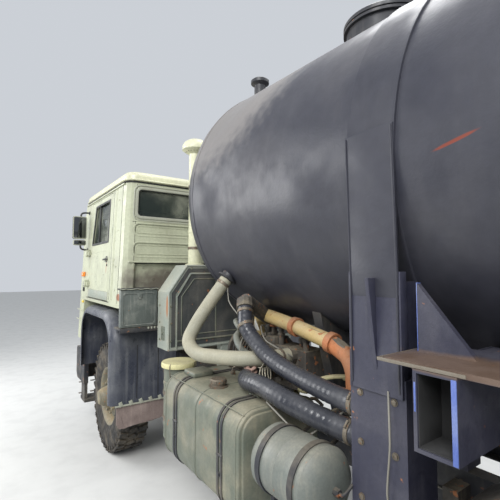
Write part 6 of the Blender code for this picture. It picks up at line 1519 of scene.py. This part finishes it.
def make_dashboard():
    """Dash with its binnacle, gauges, vents and lid, the steering wheel on its column, and pedals."""
    body = [prism([(0.205 + NOSE, 1.722), (0.575 + NOSE, 1.722), (0.58 + NOSE, 2.00), (0.555 + NOSE, 2.029),
                   (0.225 + NOSE, 2.029), (0.205 + NOSE, 1.98)], "X", -1.045, 1.045, 0.008),
            slab((0.48, 0.44, 2.02), (0.96, 0.585, 2.085), 0.022, 3),
            slab((-0.10, 0.46, 1.62), (0.10, 0.57, 1.74), 0.012),
            slab((-0.88, 0.574, 1.80), (-0.42, 0.584, 1.96), 0.006),
            slab((-0.12, 0.574, 1.80), (0.12, 0.586, 2.00), 0.006)]
    for side in (-0.95, -0.25, 0.25, 0.98):
        for height in (1.925, 1.945, 1.965):
            body.append(slab((side - 0.045, 0.574, height), (side + 0.045, 0.585, height + 0.008), 0.002))
    leg = [slab((-0.30, 0.50, 1.611), (0.30, 0.57, 1.74), 0.01)]
    centre = at(0.72, 0.86, 2.16)
    along = Vector((0, 0.035, 0.22)).normalized()
    foot = at(0.72, 0.575, 1.90)
    wheel = [rod(foot, centre, 0.030, 20, 0.003),
             rod(centre - along * 0.05, centre + along * 0.012, 0.052, 28, 0.006)]
    fore = along.cross(X_AXIS).normalized()
    ring = [centre + (X_AXIS * math.cos(math.tau * step / 48) + fore * math.sin(math.tau * step / 48)) * 0.22
            for step in range(49)]
    wheel.append(tube(ring, 0.0145, 12, ends=False))
    for angle in (0.0, math.pi, -math.pi / 2, math.pi / 2):
        way = X_AXIS * math.cos(angle) + fore * math.sin(angle)
        inner = centre + way * 0.04 - along * 0.012
        outer = centre + way * 0.13 - along * 0.010
        wheel.append(tube([inner, outer, centre + way * 0.215], 0.011, 10))
    sticks = [bent_rod([(0.0, 0.95, 1.611), (0.0, 0.96, 1.75), (0.02, 0.99, 1.90), (0.04, 1.02, 2.02)], 0.010,
                       10),
              lathe(((0, 0.012), (0.006, 0.024), (0.026, 0.028), (0.044, 0.018), (0.05, 0)),
                    at(0.04, 1.02, 2.01), Z_AXIS, 20)]
    for side in (0.58, 0.72, 0.86):
        sticks += [bent_rod([(side, 0.575, 1.75), (side, 0.62, 1.72), (side, 0.64, 1.68),
                             (side, 0.645, 1.66)], 0.008, 8),
                   slab((side - 0.04, 0.635, 1.64), (side + 0.04, 0.655, 1.70), 0.006)]
    add("dash_body", body + leg, interior, "cab", ("dashboard",))
    add("steering_wheel", wheel + sticks, black_plastic, "cab")
    dials, rims = [], []
    for side, size in ((0.56, 0.028), (0.66, 0.046), (0.78, 0.046), (0.88, 0.028)):
        dials.append(pin((side, 0.576, 1.965), (side, 0.5825, 1.965), size, 28))
        rims.append(lathe(((0, size), (0, size + 0.007), (0.008, size + 0.007), (0.008, size)),
                          at(side, 0.577, 1.965), Y_AXIS, 28))
    for step in range(6):
        rims.append(slab((0.55 + step * 0.055, 0.577, 1.86), (0.58 + step * 0.055, 0.588, 1.885), 0.003))
    add("dash_dials", dials, plate_white, "cab")
    add("dash_rims", rims, black_plastic, "cab")
    mat = [slab((-1.10, 0.56, 1.6105), (1.10, 1.22, 1.617), 0.002),
           slab((-0.40, 1.24, 1.6105), (0.40, 1.90, 1.617), 0.002)]
    liner = [slab((-1.12, 0.45, 2.735), (1.12, 1.90, 2.7595), 0.004)]
    for side in (-0.55, 0.55):
        liner.append(slab((side - 0.22, 0.40, 2.60), (side + 0.22, 0.415, 2.70), 0.006))
    add("cab_mat", mat, gasket, "cab")
    add("cab_lining", liner, interior, "cab")


# Rear, ladder and frame

RIVET_PITCH = 0.24


def node_corners(node):
    """A CAD node's lowest and highest corners, at rest."""
    low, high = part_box(node)
    return Vector(low), Vector(high)


def make_rear():
    lenses, ambers, heads = [], [], []
    for side in (-1, 1):
        place = 0.92 * side
        near, far = place - 0.16 * side, place + 0.12 * side
        lenses.append(slab((min(place, near), 7.172, 0.525), (max(place, near), 7.199, 0.615), 0.008))
        ambers.append(slab((min(place, far) + 0.003, 7.172, 0.525), (max(place, far) - 0.003, 7.199, 0.615),
                           0.008))
        heads += bolt(at(place - 0.08 * side, 7.1705, 0.632), Y_AXIS, 0.006)
    plate = [slab((-0.26, 7.171, 0.512), (0.26, 7.176, 0.628), 0.003)]
    for side in (-0.62, -0.40, 0.40, 0.62):
        for height in (0.53, 0.61):
            heads += bolt(at(side, 7.1705, height), Y_AXIS, 0.010)
    add("tail_lamps_red", lenses, red_lens, "root")
    add("tail_lamps_amber", ambers, orange_lens, "root")
    add("rear_plate", plate, plate_white)
    # Blue lines of painted highlight along the rear bumper's top and bottom edges.
    lines = []
    for height in (0.506, 0.634):
        lines.append(slab((-1.15, 7.168, height - 0.003), (1.15, 7.173, height + 0.003), 0.001))
    add("rear_bumper_painted_highlights", lines, painted_edge_highlight)
    add("rear_bolts", heads, bolt_steel)


def rail_details():
    """Rows of rivets and a brake line on each rail, and the clips that hold the leaf springs."""
    heads, lines = [], []
    low, high = node_corners("rail_left")
    count = int((high.y - low.y) / RIVET_PITCH)
    for step in range(1, count):
        place = low.y + (high.y - low.y) * step / count
        for share in (0.22, 0.78):
            spot = Vector((high.x, place, low.z + (high.z - low.z) * share))
            heads += bolt(spot, X_AXIS, 0.009)
    side, middle = high.x + 0.006, low.z + (high.z - low.z) * 0.5
    ends = [Vector((side, place, middle)) for place in (low.y + 0.3, 0.0, high.y - 0.3)]
    lines.append(tube(ends, 0.005, 8))
    add("rail_rivets", both(heads), bolt_steel)
    add("brake_lines", both(lines), wire_grey)
    clips = []
    for name, axle in (("front_axle", FRONT_HUB.y), ("rear_axle", REAR_HUB.y)):
        low, high = node_corners(name)
        for shift in (-0.07, 0.07):
            for place in (0.36, 0.46):
                foot = Vector((place, axle + shift, low.z + 0.02))
                clips.append(rod(foot, (place, axle + shift, high.z - 0.02), 0.010, 10))
                clips += bolt(foot, -Z_AXIS, 0.014)
    add("spring_clips", both(clips), bolt_steel)


def box_details():
    """The battery box's lid with its clasps, and the ribs along its outer side."""
    low, high = node_corners("battery_box")
    lid = solid((low.x - 0.004, low.y - 0.004, high.z - 0.055),
                (high.x + 0.004, high.y + 0.004, high.z + 0.004), 0.006)
    parts = [lid]
    for share in (0.22, 0.78):
        place = low.y + (high.y - low.y) * share
        parts += [solid((low.x - 0.010, place - 0.02, high.z - 0.11),
                        (low.x + 0.002, place + 0.02, high.z - 0.02), 0.003)]
        parts += bolt(Vector((low.x - 0.010, place, high.z - 0.085)), -X_AXIS, 0.008)
    for height in (0.3, 0.55):
        place = low.z + (high.z - low.z) * height
        parts.append(solid((low.x - 0.004, low.y + 0.03, place),
                           (low.x + 0.002, high.y - 0.03, place + 0.008), 0.002))
    add("battery_box_lid", parts, steel)


def make_steps():
    """Tread bars on the front steps."""
    parts = []
    for side in (1.02, 1.16):
        for height in (0.46, 0.32):
            parts.append(slab((side - 0.05, 0.10, height - 0.001), (side + 0.05, 0.15, height + 0.003),
                              0.001))
    add("step_treads", both(parts), bolt_steel)


def make_frame_fittings():
    """Lever stands, channels and a guard among the hoses, on the left rail's top, in pale yellow that is
    partly paint and partly painted highlight of the rail's lit top flange and brackets.
    """
    top = 0.981
    yellow, dark = [], []
    for station, tall in ((3.36, 0.34), (3.80, 0.30), (4.05, 0.27)):
        yellow += [slab((0.36, station, top), (0.37, station + 0.06, top + tall), 0.003),
                   slab((0.36, station, top), (0.42, station + 0.06, top + 0.010), 0.003),
                   prism([(0.37, top + 0.010), (0.41, top + 0.010), (0.37, top + 0.10)], "Y",
                         station + 0.026 + NOSE, station + 0.034 + NOSE)]
        dark += bolt(at(0.40, station + 0.045, top + 0.011), Z_AXIS, 0.009)
    for height, drop in ((top + 0.25, 0.02), (top + 0.13, 0.03)):
        channel = tube([at(0.395, 3.36, height + drop), at(0.395, 3.75, height + drop / 2),
                        at(0.395, 4.12, height)], 0.024, 4)
        yellow.append(channel)
    yellow.append(bent_rod([(0.36, 4.05, 1.20), (0.44, 4.00, 1.26), (0.52, 3.92, 1.27), (0.62, 3.86, 1.25),
                            (0.70, 3.84, 1.20)], 0.014, 12))
    yellow.append(lathe(((0, 0.030), (0.006, 0.046), (0.016, 0.050), (0.026, 0.046), (0.030, 0.020),
                         (0.030, 0)),
                        at(0.70, 3.84, 1.19), Z_AXIS, 28))
    levers = [bent_rod([(0.42, 3.56, 1.24), (0.46, 3.60, 1.40), (0.47, 3.62, 1.46), (0.475, 3.63, 1.52)],
                       0.008, 10),
              lathe(((0, 0.009), (0.008, 0.017), (0.020, 0.018), (0.030, 0.010), (0.032, 0)),
                    at(0.476, 3.632, 1.515), Z_AXIS, 18)]
    for station in (3.70, 3.92, 4.12):
        levers.append(bent_rod([(0.42, station, 1.02), (0.50, station + 0.02, 1.08),
                                (0.60, station + 0.05, 1.10), (0.74, station + 0.03, 1.06),
                                (0.84, station, 1.00)], 0.011, 10))
        levers.append(pin((0.84, station, 0.97), (0.84, station, 1.02), 0.018, 6, 0.002))
    add("lever_stands", yellow, yellow_paint_and_highlight)
    add("levers_and_lines", dark + levers, iron)


def make_ladder():
    """Collars round the ladder's stiles, at their feet, middle and tops."""
    low, high = node_corners("ladder")
    parts = []
    for side in (-1, 1):
        foot = Vector((0.21 * side, high.y - 0.016, low.z))
        head = Vector((0.21 * side, high.y - 0.016, high.z))
        for height in (low.z + 0.012, low.z + 1.2, high.z - 0.012):
            spot = foot.lerp(head, (height - low.z) / (high.z - low.z))
            parts.append(hoop(spot, Z_AXIS, 0.0165, 0.0195, 0.010, 18))
    add("ladder_collars", parts, bolt_steel)


def make_rear_guards():
    """Rolled lips and bolts on the rear mudguards."""
    low, high = node_corners("rear_mudguard_left")
    radius = high.z - REAR_HUB.z
    lips, heads = [], []
    for place in (high.x - 0.004, low.x + 0.20):
        points = []
        for step in range(25):
            angle = math.radians(22 + 136 * step / 24)
            points.append(REAR_HUB + Vector((place, (radius - 0.018) * math.cos(angle),
                                             (radius - 0.014) * math.sin(angle))))
        lips.append(tube(points, 0.007, 8))
    for angle in (60, 90, 120):
        turn = math.radians(angle)
        way = Vector((0, math.cos(turn), math.sin(turn)))
        for place in (0.62, 0.95):
            heads += bolt(REAR_HUB + X_AXIS * place + way * (radius - 0.003), way, 0.010)
    add_pair("rear_guard_lips", lips, steel)
    add_pair("rear_guard_bolts", heads, bolt_steel)


# Camera, light and floor

CAMERA_PLACE, CAMERA_TURN, CAMERA_PITCH, CAMERA_LENS = (2.28, 1.90, 1.90), 35.3, 3.3, 27.1
AIM = Vector((0, -0.5, 1.3))


def make_studio():
    """The photograph's viewing angle, a plain pale floor and soft, even light."""
    turn, pitch = math.radians(CAMERA_TURN), math.radians(CAMERA_PITCH)
    ahead = Vector((-math.sin(turn) * math.cos(pitch), -math.cos(turn) * math.cos(pitch), math.sin(pitch)))
    lens = bpy.data.cameras.new("photo_camera")
    lens.lens = CAMERA_LENS
    camera = bpy.data.objects.new("photo_camera", lens)
    camera.location = CAMERA_PLACE
    camera.rotation_mode = "QUATERNION"
    camera.rotation_quaternion = ahead.to_track_quat("-Z", "Y")
    bpy.context.collection.objects.link(camera)
    bpy.context.scene.camera = camera
    floor = bpy.data.meshes.new("floor")
    shape = bmesh.new()
    bmesh.ops.create_grid(shape, x_segments=1, y_segments=1, size=40)
    shape.to_mesh(floor)
    shape.free()
    ground = bpy.data.objects.new("floor", floor)
    floor.materials.append(plain("floor_finish", (0.62, 0.62, 0.60), 0.8, grain=0.0))
    bpy.context.collection.objects.link(ground)
    world = bpy.data.worlds.new("studio")
    world.use_nodes = True
    world.node_tree.nodes["Background"].inputs["Color"].default_value = (0.80, 0.84, 0.90, 1)
    world.node_tree.nodes["Background"].inputs["Strength"].default_value = 0.75
    bpy.context.scene.world = world
    for name, place, size, power in (("key", (6.0, 3.5, 6.5), 4.0, 700), ("fill", (5.0, -5.0, 3.5), 4.0, 260),
                                     ("top", (-2.0, 0.0, 8.0), 5.0, 420),
                                     ("far", (-6.0, 6.0, 4.0), 4.0, 260)):
        light = bpy.data.lights.new(name, "AREA")
        light.energy = power
        light.size = size
        lamp = bpy.data.objects.new(name, light)
        lamp.location = place
        lamp.rotation_mode = "QUATERNION"
        lamp.rotation_quaternion = (AIM - lamp.location).to_track_quat("-Z", "Y")
        bpy.context.collection.objects.link(lamp)
    bpy.context.scene.view_settings.view_transform = "Standard"


def paint_nodes():
    """Finishes for the CAD nodes that stay in view."""
    finishes = {
        steel: ("rail_left", "rail_right", "crossmember_front", "crossmember_mid", "crossmember_rear",
                "front_bumper", "rear_bumper", "battery_box", "front_saddle", "rear_cradle",
                "rear_mudguard_left", "rear_mudguard_right", "ladder"),
        cradle_blue: ("mid_cradle",),
        iron: ("engine_gearbox", "front_axle", "rear_axle", "knuckle_left", "knuckle_right", "vacuum_pump"),
        cream: ("cab_shell", "door_left", "door_right"),
        shroud_green: ("engine_shroud",),
        glass: ("windshield", "rear_window_left", "rear_window_right", "door_glass_left", "door_glass_right"),
    }
    for finish, names in finishes.items():
        for name in names:
            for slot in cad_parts[name].material_slots:
                slot.material = finish


make_studio()
paint_nodes()
make_tank()
make_wheels()
make_cab()
make_hoses()
make_valves()
make_guards()
make_shroud()
make_fuel_tank()
make_receiver()
make_canister()
make_cradle()
make_seats()
make_dashboard()
make_rear()
rail_details()
box_details()
make_steps()
make_frame_fittings()
make_ladder()
make_rear_guards()
